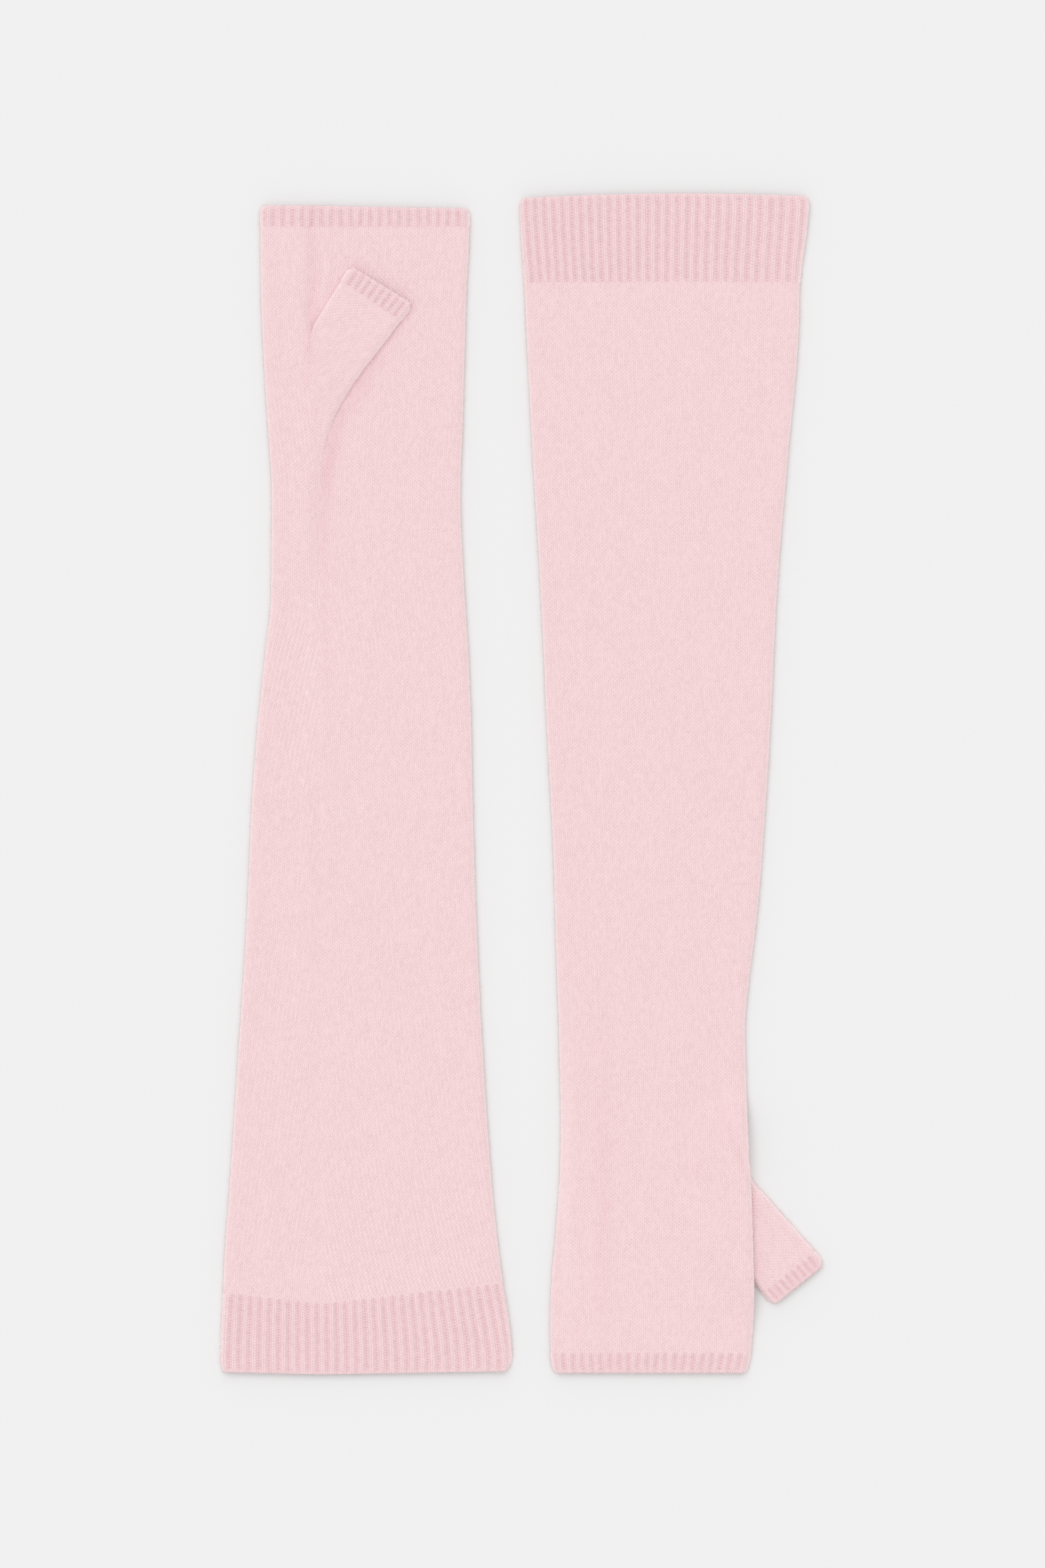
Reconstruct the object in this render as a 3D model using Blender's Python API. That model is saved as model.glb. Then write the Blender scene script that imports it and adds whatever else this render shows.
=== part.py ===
"""A pair of long fingerless gloves, knitted in fine wool, laid flat beside each other.

Each glove is a flattened knit tube from the forearm to the knuckles, with a deep rib at the arm
end, a narrow rib at the hand end and a short thumb with a rib of its own. The left glove lies
palm up with its thumb folded over the palm. The right glove is turned end for end and lies back
up, with its thumb out from under the hand.

Sizes are in millimetres until an object is made. Each glove is drawn with its fingers towards
+Y: "along" runs from the arm rim to the hand rim, and X is measured from the glove's middle.
"""

import functools
import math
from collections import namedtuple

import bmesh
import bpy
import numpy as np

MM = 0.001

# The cloth
WALL = 1.5
SLIT = 0.4
FLAT = 2 * WALL + SLIT
PIECE_GAP = 0.3

# The ribs: one raised knit wale and one sunk purl wale to each rib
RIB_RISE = 0.6
ARM_RIBS = 29
HAND_RIBS = 22
THUMB_RIBS = 8
RIM_RISE_SHARE = 0.3
RIB_UNDER_ACROSS = (0.2, 0.4, 0.6, 0.8)
RIB_MARGIN = 0.02
RIB_STEPS = ((0.06, 0.0), (0.44, 0.0), (0.56, 1.0), (0.94, 1.0))
WALE_MIDDLES = (0.25, 0.75)

# A fold at the side of a flattened tube: (inset, share of the height) down to its middle
FOLD_STEPS = ((1.7, 1.0), (0.5, 0.86))
INNER_INSET = 1.6
RIM_CORNER = 2.6
RIM_SHOULDER = 4.0

# The joining seam up the palm side, a soft trough in the left glove's upper face
SEAM_DIP = 0.45
SEAM_HALF = 2.2

# The right glove's hand lies on its thumb
THUMB_CLEAR = 1.6
HAND_RAMP = 15.0

# Where each glove's middle lies, and the turn about +Z that the right one has
LEFT_MIDDLE = (-65.35, -245.9)
RIGHT_MIDDLE = (59.1, 245.1)
RIGHT_TURN = math.pi

# left and right are the two fold lines. A course starts from the left fold at "along", runs
# down by "dip" to where it turns, and meets the right fold "climb" further along
Row = namedtuple("Row", "along left right turn dip climb")

LEFT_ROWS = (
    Row(0.8, -60.2, 59.7, -18.6, 1.0, 0.3),
    Row(6.1, -60.6, 60.6, -18.6, 1.6, 0.9),
    Row(34.4, -59.4, 57.8, -18.7, 4.7, 3.9),
    Row(47.8, -58.9, 55.8, -18.8, 4.9, 2.6),
    Row(75.6, -56.9, 52.8, -18.8, 5.4, 1.0),
    Row(131.1, -53.3, 48.9, -18.9, 6.6, 0.2),
    Row(186.7, -49.7, 46.1, -19.1, 7.2, -0.2),
    Row(242.2, -47.2, 44.4, -19.2, 7.2, -0.2),
    Row(270.0, -45.0, 43.9, -19.3, 6.8, 0.4),
    Row(297.8, -42.2, 42.8, -19.3, 5.9, 1.4),
    Row(325.6, -39.4, 41.1, -19.4, 5.2, 1.8),
    Row(367.2, -39.2, 39.4, -20.0, 3.4, 0.8),
    Row(395.0, -40.8, 40.3, -20.5, 1.8, 0.2),
    Row(422.8, -42.5, 41.1, -20.3, 0.8, 0.0),
    Row(450.6, -43.6, 41.9, -19.8, 0.4, 0.0),
    Row(477.5, -43.9, 43.1, -19.2, 0.2, 0.0),
    Row(483.9, -43.9, 43.1, -19.1, 0.1, -0.8),
    Row(486.9, -43.4, 42.6, -19.0, 0.0, -1.3),
)

RIGHT_ROWS = (
    Row(0.2, -59.9, 59.7, -10.0, 1.2, 0.8),
    Row(3.3, -60.3, 60.3, -10.0, 1.1, 0.8),
    Row(12.8, -59.4, 60.0, -8.0, 0.6, 0.4),
    Row(36.7, -56.5, 58.3, -4.0, 0.2, 0.2),
    Row(54.4, -56.1, 57.5, 0.0, -0.4, 0.6),
    Row(110.0, -51.4, 54.7, 0.0, -1.8, 2.2),
    Row(165.6, -46.9, 51.4, 0.0, -2.6, 3.0),
    Row(221.1, -44.2, 48.9, 0.0, -2.6, 3.0),
    Row(276.7, -40.6, 46.1, 0.0, -2.6, 3.0),
    Row(304.4, -38.1, 45.3, 0.0, -2.4, 2.8),
    Row(332.2, -34.7, 44.4, 0.0, -2.0, 2.2),
    Row(346.1, -33.6, 43.9, 0.0, -1.6, 1.6),
    Row(360.0, -33.9, 43.6, 0.0, -1.2, 1.0),
    Row(387.8, -34.7, 43.1, 0.0, -0.4, 0.2),
    Row(401.7, -35.3, 43.3, 0.0, 0.0, 0.0),
    Row(415.6, -36.3, 44.0, 0.0, 0.0, 0.0),
    Row(429.4, -36.7, 45.0, 0.0, 0.0, 0.0),
    Row(457.2, -37.4, 47.2, 0.0, 0.0, 0.0),
    Row(471.1, -36.9, 47.5, 0.0, 0.0, 0.0),
    Row(481.7, -36.1, 47.2, 0.0, 0.0, 0.0),
    Row(487.8, -35.0, 46.7, 0.0, 0.0, 0.0),
    Row(490.6, -34.4, 45.9, 0.0, 0.0, 0.0),
)

LEFT_ARM_RIB_ENDS = 34.4
LEFT_HAND_RIB_STARTS = 477.5
RIGHT_ARM_RIB_ENDS = 36.7
RIGHT_HAND_RIB_STARTS = 481.7

LEFT_ARM_STOPS = (38, 52, 75, 103, 131, 159, 187, 214, 242, 270, 298, 326, 350, 372, 395, 423, 451, 466)
RIGHT_ARM_STOPS = (
    50, 82, 110, 138, 166, 193, 221, 249, 277, 304, 332, 352, 368, 378, 386, 394, 402, 410,
    418, 426, 434, 442, 450, 458, 466, 474,
)
# How far across from the left fold the points of a section stand
LEFT_ACROSS = (0.06, 0.13, 0.42, 0.5, 0.58, 0.66, 0.74, 0.82, 0.9, 0.96)
RIGHT_ACROSS = (0.05, 0.1, 0.15, 0.2, 0.25, 0.3, 0.36, 0.43, 0.52, 0.62, 0.72, 0.82, 0.9, 0.96)

# Stations across a thumb, root first. (left_x, left_along) and (right_x, right_along) are its
# two edges, and left_height is the cloth's height at the left edge
Station = namedtuple("Station", "left_x left_along right_x right_along height left_height")

LEFT_THUMB = (
    Station(-20.0, 387.2, -17.6, 385.0, 1.5, 0.9),
    Station(-20.1, 390.8, -17.5, 387.2, 2.0, 0.9),
    Station(-20.7, 402.8, -15.3, 394.2, 2.8, 1.0),
    Station(-21.3, 414.4, -11.9, 401.4, 3.2, 1.1),
    Station(-21.8, 425.6, -7.5, 408.9, 3.3, 1.3),
    Station(-22.2, 435.6, -2.2, 416.7, 3.3, 1.9),
    Station(-18.1, 442.8, 3.1, 423.6, 3.3, 3.3),
    Station(-14.2, 449.4, 8.6, 430.8, 3.3, 3.3),
    Station(-10.2, 455.6, 14.9, 439.2, 3.3, 3.3),
    Station(-7.1, 460.8, 20.0, 445.4, 3.3, 3.3),
)

RIGHT_THUMB = (
    Station(-28.6, 388.6, -25.6, 400.3, 2.4, 2.4),
    Station(-31.4, 394.7, -25.8, 412.8, 3.2, 3.2),
    Station(-33.9, 403.1, -26.1, 425.3, 3.3, 3.3),
    Station(-37.6, 411.6, -26.4, 431.6, 3.3, 3.3),
    Station(-41.4, 415.6, -26.7, 437.2, 3.3, 3.3),
    Station(-48.1, 423.3, -31.4, 444.4, 3.3, 3.3),
    Station(-55.3, 431.4, -35.8, 450.8, 3.3, 3.3),
    Station(-62.4, 439.4, -40.6, 457.0, 3.3, 3.3),
    Station(-67.0, 445.3, -45.6, 462.6, 3.3, 3.3),
)

SWELL = 6.5
THUMB_FOLD = 0.04
THUMB_INNER_ACROSS = (0.04, 0.35, 0.65, 0.96)
PINK = (0.86, 0.62, 0.645, 1.0)
RIB_PINK = (0.82, 0.57, 0.6, 1.0)
YARN_ROUGHNESS = 0.92


def clear_scene():
    for old in list(bpy.data.objects):
        bpy.data.objects.remove(old)


def knit_material(name, colour):
    material = bpy.data.materials.new(name)
    material.use_nodes = True
    shader = material.node_tree.nodes["Principled BSDF"]
    shader.inputs["Base Color"].default_value = colour
    shader.inputs["Roughness"].default_value = YARN_ROUGHNESS
    shader.inputs["Metallic"].default_value = 0.0
    return material


def row_at(rows, along):
    stops, left, right, turn, dip, climb = zip(*rows)
    left, turn, dip, climb = (float(np.interp(along, stops, c)) for c in (left, turn, dip, climb))
    return Row(along, left, float(np.interp(along + climb, stops, right)), turn, dip, climb)


def smooth(share):
    share = min(max(share, 0.0), 1.0)
    return share * share * (3 - 2 * share)


def outline_distance(x, y, outline):
    """How far a point lies outside a closed outline, and 0 inside it."""
    nearest = math.inf
    inside = False
    for (ax, ay), (bx, by) in zip(outline, outline[1:] + outline[:1]):
        length = math.hypot(bx - ax, by - ay)
        share = ((x - ax) * (bx - ax) + (y - ay) * (by - ay)) / length**2
        share = min(max(share, 0.0), 1.0)
        nearest = min(nearest, math.hypot(x - ax - share * (bx - ax), y - ay - share * (by - ay)))
        if (ay > y) != (by > y) and x < ax + (y - ay) / (by - ay) * (bx - ax):
            inside = not inside
    return 0.0 if inside else nearest


def thumb_outline(stations):
    left = [(s.left_x, s.left_along) for s in stations]
    right = [(s.right_x, s.right_along) for s in stations]
    return left + right[::-1]


def hand_lift(x, y):
    """The height of the right hand's underside, which climbs over the thumb beneath it."""
    apart = outline_distance(x, y, thumb_outline(RIGHT_THUMB)) - THUMB_CLEAR
    rise = RIGHT_THUMB[-1].height + PIECE_GAP
    return rise * smooth(1 - apart / HAND_RAMP)


def no_lift(x, y):
    return 0.0


def seam_relief(x, y):
    """The soft trough along the joining seam, in a face that is otherwise level."""
    apart = abs(x - row_at(LEFT_ROWS, y).turn)
    return -SEAM_DIP * max(0.0, 1 - apart / SEAM_HALF)


def no_relief(x, y):
    return 0.0


def rim_drawback(x, row, corner):
    """How far a rounded corner stands back from the straight rim."""
    edge = min(x - row.left, row.right - x)
    if edge >= corner:
        return 0.0
    return corner - math.sqrt(max(corner**2 - (corner - edge) ** 2, 0.0))


def course_along(x, row, over, corner=0.0, outward=1.0):
    """How far along a course is at x. It turns in the upper face, and runs straight beneath."""
    if not over:
        along = row.along + row.climb * (x - row.left) / (row.right - row.left)
    elif x < row.turn:
        along = row.along - row.dip * (x - row.left) / (row.turn - row.left)
    else:
        across = (x - row.turn) / (row.right - row.turn)
        along = row.along - row.dip + (row.dip + row.climb) * across
    back = rim_drawback(x, row, corner) if corner else 0.0
    return along - outward * back


def across_points(row, shares):
    """X of the points over a face, between its two folds."""
    return [row.left + share * (row.right - row.left) for share in shares]


def outer_ring(row, shares, lift, relief, along_of):
    """The outside of one section: the left fold, over the top, the right fold, back beneath."""
    left_steps = [(row.left + inset, share) for inset, share in reversed(FOLD_STEPS)]
    right_steps = [(row.right - inset, share) for inset, share in FOLD_STEPS]
    middle = [(x, 1.0) for x in across_points(row, shares)]
    top = left_steps + middle + right_steps
    ring = [(row.left, 0.5)] + top + [(row.right, 0.5)]
    ring += [(x, 1 - share) for x, share in reversed(left_steps[1:] + middle + right_steps[:1])]
    count = len(top) + 2
    points = []
    for number, (x, share) in enumerate(ring):
        over = number < count
        y = along_of(x, row, over)
        z = lift(x, y) + FLAT * share
        if over:
            z += relief(x, y)
        points.append((x, y, z))
    return points


def inner_ring(row, shares, lift, along_of):
    """The inside of the same section, a plain flat slit between the two layers."""
    left, right = row.left + INNER_INSET, row.right - INNER_INSET
    inside = across_points(row, shares)
    ring = [(left, WALL + SLIT / 2)] + [(x, WALL + SLIT) for x in inside]
    ring += [(right, WALL + SLIT / 2)] + [(x, WALL) for x in reversed(inside)]
    points = []
    for number, (x, z) in enumerate(ring):
        y = along_of(x, row, number < len(inside) + 2)
        points.append((x, y, lift(x, y) + z))
    return points


def section_places(ring, start, finish):
    """How far round a flat section each of its points is: over from start to finish, and back."""
    reach = np.linalg.norm(finish - start)
    places = (np.array([v.co.xy for v in ring]) - start) @ (finish - start) / reach
    turn = int(np.argmax(places))
    return np.concatenate([places[: turn + 1], 2 * reach - places[turn + 1 :]])


def stitch_rings(mesh, outer, inner, flipped):
    """Fills the end of a wall, between its outer and its inner ring, by their places across."""
    start = np.array(outer[0].co.xy)
    apart = [np.linalg.norm(np.array(v.co.xy) - start) for v in outer]
    finish = np.array(outer[int(np.argmax(apart))].co.xy)
    outer_at = section_places(outer, start, finish)
    inner_at = section_places(inner, start, finish)
    i = j = 0
    while i < len(outer) or j < len(inner):
        next_outer = outer_at[i + 1] if i + 1 < len(outer) else math.inf
        next_inner = inner_at[j + 1] if j + 1 < len(inner) else math.inf
        a, b = outer[i % len(outer)], inner[j % len(inner)]
        if j >= len(inner) or (i < len(outer) and next_outer <= next_inner):
            i += 1
            corners = (a, outer[i % len(outer)], b)
        else:
            j += 1
            corners = (a, inner[j % len(inner)], b)
        mesh.faces.new(corners[::-1] if flipped else corners)


def loft(mesh, rings, flipped):
    for first, second in zip(rings, rings[1:]):
        for i in range(len(first)):
            k = (i + 1) % len(first)
            corners = (first[i], first[k], second[k], second[i])
            mesh.faces.new(corners[::-1] if flipped else corners)


def wall_object(name, outside, inside, material, parent, closed_start=False):
    """A tube with a wall: rings of points outside, rings inside, joined at the open ends."""
    mesh = bmesh.new()
    outer = [[mesh.verts.new(np.array(p) * MM) for p in ring] for ring in outside]
    inner = [[mesh.verts.new(np.array(p) * MM) for p in ring] for ring in inside]
    loft(mesh, outer, flipped=False)
    loft(mesh, inner, flipped=True)
    stitch_rings(mesh, outer[-1], inner[-1], flipped=False)
    if closed_start:
        mesh.faces.new(outer[0][::-1])
        mesh.faces.new(inner[0])
    else:
        stitch_rings(mesh, outer[0], inner[0], flipped=True)
    bmesh.ops.triangulate(mesh, faces=mesh.faces[:])
    bmesh.ops.recalc_face_normals(mesh, faces=mesh.faces[:])
    data = bpy.data.meshes.new(name)
    mesh.to_mesh(data)
    mesh.free()
    data.materials.append(material)
    data.shade_smooth()
    data.set_sharp_from_angle(angle=math.radians(50))
    piece = bpy.data.objects.new(name, data)
    piece.parent = parent
    parent.users_collection[0].objects.link(piece)
    return piece


def arm_tube(name, rows, stops, shares, lift, relief, ends, material, parent, seam=False):
    """The long plain tube between the arm rib and the hand rib."""
    start, stop = ends[0] + PIECE_GAP / 2, ends[1] - PIECE_GAP / 2
    outside, inside = [], []
    for along in (start, *stops, stop):
        row = row_at(rows, along)
        row_shares = shares
        if seam:
            row_shares = shares[:2] + seam_shares(row) + shares[2:]
        outside.append(outer_ring(row, row_shares, lift, relief, course_along))
        inside.append(inner_ring(row, row_shares, lift, course_along))
    return wall_object(name, outside, inside, material, parent)


def seam_shares(row):
    width = row.right - row.left
    offsets = (-SEAM_HALF - 3.0, -SEAM_HALF, 0.0, SEAM_HALF, SEAM_HALF + 5.0)
    return tuple((row.turn + offset - row.left) / width for offset in offsets)


def rib_shares(count):
    """The points of the raised ribs over a face, and which of them stand up."""
    pitch = (1 - 2 * RIB_MARGIN) / count
    shares = [RIB_MARGIN + (rib + place) * pitch for rib in range(count) for place, _ in RIB_STEPS]
    raised = [step for _ in range(count) for _, step in RIB_STEPS]
    return shares, raised


def wale_shares(count):
    """The middle of each knit and purl wale over a face."""
    pitch = (1 - 2 * RIB_MARGIN) / count
    return [RIB_MARGIN + (rib + place) * pitch for rib in range(count) for place in WALE_MIDDLES]


def ribbed_ring(row, count, lift, rise, along_of):
    """A section whose upper face carries ribs, over a plain underside."""
    shares, raised = rib_shares(count)
    left_steps = [(row.left + inset, share) for inset, share in reversed(FOLD_STEPS)]
    right_steps = [(row.right - inset, share) for inset, share in FOLD_STEPS]
    ribs = [
        (x, 1.0 + step * rise / FLAT) for x, step in zip(across_points(row, shares), raised)
    ]
    under = [(x, 0.0) for x in across_points(row, RIB_UNDER_ACROSS)]
    top = left_steps[:1] + ribs + right_steps[1:]
    ring = [(row.left, 0.5)] + top + [(row.right, 0.5)]
    ring += [(right_steps[0][0], 0.0)] + under[::-1] + [(left_steps[1][0], 0.0)]
    points = []
    for number, (x, share) in enumerate(ring):
        y = along_of(x, row, number < len(top) + 2)
        points.append((x, y, lift(x, y) + FLAT * share))
    return points


def rib_band(name, rows, count, ends, rim_first, lift, material, parent):
    """A ribbed end of the tube. One end meets the tube, the other is the rim."""
    start, stop = ends
    rim = start if rim_first else stop
    inward = 1.0 if rim_first else -1.0
    meets = stop - PIECE_GAP / 2 if rim_first else start + PIECE_GAP / 2
    plan = [
        (rim, RIB_RISE * RIM_RISE_SHARE, RIM_CORNER),
        (rim + inward * RIM_SHOULDER, RIB_RISE, 0.0),
        (meets, RIB_RISE, 0.0),
    ]
    outside, inside = [], []
    for along, rise, corner in plan if rim_first else plan[::-1]:
        row = row_at(rows, along)
        along_of = functools.partial(course_along, corner=corner, outward=-inward)
        outside.append(ribbed_ring(row, count, lift, rise, along_of))
        inside.append(inner_ring(row, wale_shares(count), lift, along_of))
    return wall_object(name, outside, inside, material, parent)


def thumb_point(station, share, height, base):
    """A point over a thumb, by its share of the way from the left edge to the right edge."""
    x = station.left_x + share * (station.right_x - station.left_x)
    y = station.left_along + share * (station.right_along - station.left_along)
    return (x, y, base + height)


def thumb_width(station):
    return math.hypot(station.right_x - station.left_x, station.right_along - station.left_along)


def thumb_top(station, inset):
    """The height of a thumb's upper face at a distance from its left edge."""
    climb = math.sin(math.pi / 2 * min(1.0, inset / min(SWELL, thumb_width(station) * 0.6)))
    return station.left_height + (station.height - station.left_height) * climb


def thumb_shares(shares):
    """The same places over a thumb, whose folds take more of its width."""
    return [THUMB_FOLD + share * (1 - 2 * THUMB_FOLD) for share in shares]


def thumb_ring(station, base, ribs=0, rise=0.0):
    width = thumb_width(station)
    edge = min(1.5, width * 0.25)
    if ribs:
        shares, raised = rib_shares(ribs)
        shares = thumb_shares(shares)
    else:
        shares = [edge / width + (1 - 2 * edge / width) * step / 8 for step in range(9)]
        raised = [0.0] * len(shares)
    tops = [thumb_top(station, share * width) for share in shares]
    under = [edge / width + (1 - 2 * edge / width) * step / 4 for step in range(5)]
    nip = 0.3 * edge / width
    ring = [(0.0, station.left_height * 0.5), (nip, station.left_height * 0.86)]
    ring += [(share, top + rise * step) for share, top, step in zip(shares, tops, raised)]
    ring += [(1 - nip, station.height * 0.86), (1.0, station.height * 0.5)]
    ring += [(1 - nip, station.height * 0.14)] + [(share, 0.0) for share in reversed(under)]
    ring += [(nip, station.left_height * 0.14)]
    return [thumb_point(station, share, height, base) for share, height in ring]


def thumb_inner_ring(station, base, shares=None):
    """The slit inside a thumb, between its lower and its upper layer."""
    width = thumb_width(station)
    near = (6.0 if station.left_height < 2 * WALL else INNER_INSET) / width
    far = 1 - INNER_INSET / width
    low = (station.height - SLIT) / 2
    inside = shares or [near + (far - near) * share for share in THUMB_INNER_ACROSS]
    ring = [(near, low + SLIT / 2)] + [(share, low + SLIT) for share in inside]
    ring += [(far, low + SLIT / 2)] + [(share, low) for share in reversed(inside)]
    return [thumb_point(station, share, height, base) for share, height in ring]


def station_at(stations, place):
    """A station part of the way between two of the table's, as 2.5 is between the third and fourth."""
    numbers = range(len(stations))
    columns = zip(*stations)
    return Station(*(float(np.interp(place, numbers, column)) for column in columns))


def station_step(stations, place):
    """How long one step of the table is near its end, so that a gap can be left in millimetres."""
    here, there = stations[place - 1], stations[place]
    return math.hypot(
        (there.left_x + there.right_x - here.left_x - here.right_x) / 2,
        (there.left_along + there.right_along - here.left_along - here.right_along) / 2,
    )


def thumb_tube(name, stations, first_hollow, base, material, parent):
    """The plain part of a thumb, closed at its root and open towards its rib."""
    last = len(stations) - 2
    gap = PIECE_GAP / 2 / station_step(stations, last)
    whole = [station_at(stations, place) for place in (*range(last), last - gap)]
    outside = [thumb_ring(station, base) for station in whole]
    inside = [thumb_inner_ring(station, base) for station in whole[first_hollow:]]
    return wall_object(name, outside, inside, material, parent, closed_start=True)


def thumb_rib(name, stations, base, material, parent):
    last = len(stations) - 1
    step = station_step(stations, last)
    places = (last - 1 + PIECE_GAP / 2 / step, last - 1.6 / step, last)
    rises = (RIB_RISE, RIB_RISE, RIB_RISE * RIM_RISE_SHARE)
    found = [station_at(stations, place) for place in places]
    outside = [thumb_ring(s, base, THUMB_RIBS, rise) for s, rise in zip(found, rises)]
    middles = thumb_shares(wale_shares(THUMB_RIBS))
    inside = [thumb_inner_ring(station, base, middles) for station in found]
    return wall_object(name, outside, inside, material, parent)


def glove_empty(name, collection, middle, turn):
    empty = bpy.data.objects.new(name, None)
    empty.location = (middle[0] * MM, middle[1] * MM, 0.0)
    empty.rotation_euler.z = turn
    collection.objects.link(empty)
    return empty


def left_glove(collection, plain, ribbed):
    glove = glove_empty("left_glove", collection, LEFT_MIDDLE, 0.0)
    rim, hand_rim = LEFT_ROWS[0].along, LEFT_ROWS[-1].along
    ends = (LEFT_ARM_RIB_ENDS, LEFT_HAND_RIB_STARTS)
    rib_band("left_arm_rib", LEFT_ROWS, ARM_RIBS, (rim, ends[0]), True, no_lift, ribbed, glove)
    arm_tube(
        "left_arm_tube", LEFT_ROWS, LEFT_ARM_STOPS, LEFT_ACROSS, no_lift, seam_relief, ends,
        plain, glove, seam=True,
    )
    rib_band(
        "left_hand_rib", LEFT_ROWS, HAND_RIBS, (ends[1], hand_rim), False, no_lift, ribbed, glove
    )
    base = FLAT + PIECE_GAP
    thumb_tube("left_thumb_tube", LEFT_THUMB, 3, base, plain, glove)
    thumb_rib("left_thumb_rib", LEFT_THUMB, base, ribbed, glove)
    return glove


def right_glove(collection, plain, ribbed):
    glove = glove_empty("right_glove", collection, RIGHT_MIDDLE, RIGHT_TURN)
    rim, hand_rim = RIGHT_ROWS[0].along, RIGHT_ROWS[-1].along
    ends = (RIGHT_ARM_RIB_ENDS, RIGHT_HAND_RIB_STARTS)
    rib_band("right_arm_rib", RIGHT_ROWS, ARM_RIBS, (rim, ends[0]), True, no_lift, ribbed, glove)
    arm_tube(
        "right_arm_tube", RIGHT_ROWS, RIGHT_ARM_STOPS, RIGHT_ACROSS, hand_lift, no_relief, ends,
        plain, glove,
    )
    rib_band(
        "right_hand_rib", RIGHT_ROWS, HAND_RIBS, (ends[1], hand_rim), False, hand_lift, ribbed,
        glove,
    )
    thumb_tube("right_thumb_tube", RIGHT_THUMB, 2, 0.0, plain, glove)
    thumb_rib("right_thumb_rib", RIGHT_THUMB, 0.0, ribbed, glove)
    return glove


def centre_pair(gloves):
    """Moves both gloves so that the middle of their common box is at the origin."""
    bpy.context.view_layer.update()
    corners = [
        piece.matrix_world @ vertex.co
        for glove in gloves
        for piece in glove.children
        for vertex in piece.data.vertices
    ]
    for axis in (0, 1):
        places = [corner[axis] for corner in corners]
        middle = (min(places) + max(places)) / 2
        for glove in gloves:
            glove.location[axis] -= middle


def main():
    clear_scene()
    collection = bpy.data.collections.new("fingerless_gloves")
    bpy.context.scene.collection.children.link(collection)
    plain = knit_material("plain_knit", PINK)
    ribbed = knit_material("ribbed_knit", RIB_PINK)
    centre_pair([left_glove(collection, plain, ribbed), right_glove(collection, plain, ribbed)])


main()
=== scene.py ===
# %% [markdown]
# # A pair of long fingerless gloves
#
# Two gloves of fine pink wool lie flat beside each other. Each is a knitted tube from the forearm
# to the knuckles, with a deep rib at the arm, a narrow rib at the hand and a short thumb with a
# rib of its own. The left one lies palm up, with its thumb folded over the palm. The right one is
# turned end for end and lies back up, with its thumb out from under the hand.
#
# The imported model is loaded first, as a frame that stays where it is. Every knitted piece made
# below stands in the place of one of its solids, or of part of one, and adds what a solid leaves
# out: stitches, fuzz and colour.

# %% Load the frame
import math
from collections import namedtuple

import bpy
import numpy as np
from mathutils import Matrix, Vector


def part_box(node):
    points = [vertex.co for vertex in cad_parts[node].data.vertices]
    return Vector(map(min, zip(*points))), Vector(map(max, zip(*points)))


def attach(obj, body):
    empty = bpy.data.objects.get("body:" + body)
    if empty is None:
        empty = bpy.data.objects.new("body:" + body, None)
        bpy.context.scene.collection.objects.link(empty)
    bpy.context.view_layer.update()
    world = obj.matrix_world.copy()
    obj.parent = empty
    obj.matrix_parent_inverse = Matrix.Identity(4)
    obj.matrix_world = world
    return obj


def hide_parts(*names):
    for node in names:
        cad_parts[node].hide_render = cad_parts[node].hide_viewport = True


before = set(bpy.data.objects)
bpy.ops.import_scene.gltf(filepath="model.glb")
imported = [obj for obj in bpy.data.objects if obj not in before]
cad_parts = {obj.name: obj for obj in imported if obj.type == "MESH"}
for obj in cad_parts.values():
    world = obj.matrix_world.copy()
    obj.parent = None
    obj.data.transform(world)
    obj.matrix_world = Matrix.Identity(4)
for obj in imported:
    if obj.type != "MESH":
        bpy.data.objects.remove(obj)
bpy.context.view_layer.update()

MM = 0.001
print("The frame holds", len(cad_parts), "solids")

# %% [markdown]
# # The shape of each glove
#
# A knitted tube is described best by its courses, the rows of stitches that run across it. Each
# line of these tables is one course: where it starts on the left fold, where the two folds are,
# where it turns in the upper face, how far it dips there and how far it climbs to the right fold.
# Everything is in millimetres, drawn with the fingers towards +Y, and the gloves are put in their
# places at the very end.

# %% The courses
Row = namedtuple("Row", "along left right turn dip climb")

LEFT_ROWS = (
    Row(0.8, -60.2, 59.7, -18.6, 1.0, 0.3),
    Row(6.1, -60.6, 60.6, -18.6, 1.6, 0.9),
    Row(34.4, -59.4, 57.8, -18.7, 4.7, 3.9),
    Row(47.8, -58.9, 55.8, -18.8, 4.9, 2.6),
    Row(75.6, -56.9, 52.8, -18.8, 5.4, 1.0),
    Row(131.1, -53.3, 48.9, -18.9, 6.6, 0.2),
    Row(186.7, -49.7, 46.1, -19.1, 7.2, -0.2),
    Row(242.2, -47.2, 44.4, -19.2, 7.2, -0.2),
    Row(270.0, -45.0, 43.9, -19.3, 6.8, 0.4),
    Row(297.8, -42.2, 42.8, -19.3, 5.9, 1.4),
    Row(325.6, -39.4, 41.1, -19.4, 5.2, 1.8),
    Row(367.2, -39.2, 39.4, -20.0, 3.4, 0.8),
    Row(395.0, -40.8, 40.3, -20.5, 1.8, 0.2),
    Row(422.8, -42.5, 41.1, -20.3, 0.8, 0.0),
    Row(450.6, -43.6, 41.9, -19.8, 0.4, 0.0),
    Row(477.5, -43.9, 43.1, -19.2, 0.2, 0.0),
    Row(483.9, -43.9, 43.1, -19.1, 0.1, -0.8),
    Row(486.9, -43.4, 42.6, -19.0, 0.0, -1.3),
)

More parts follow.
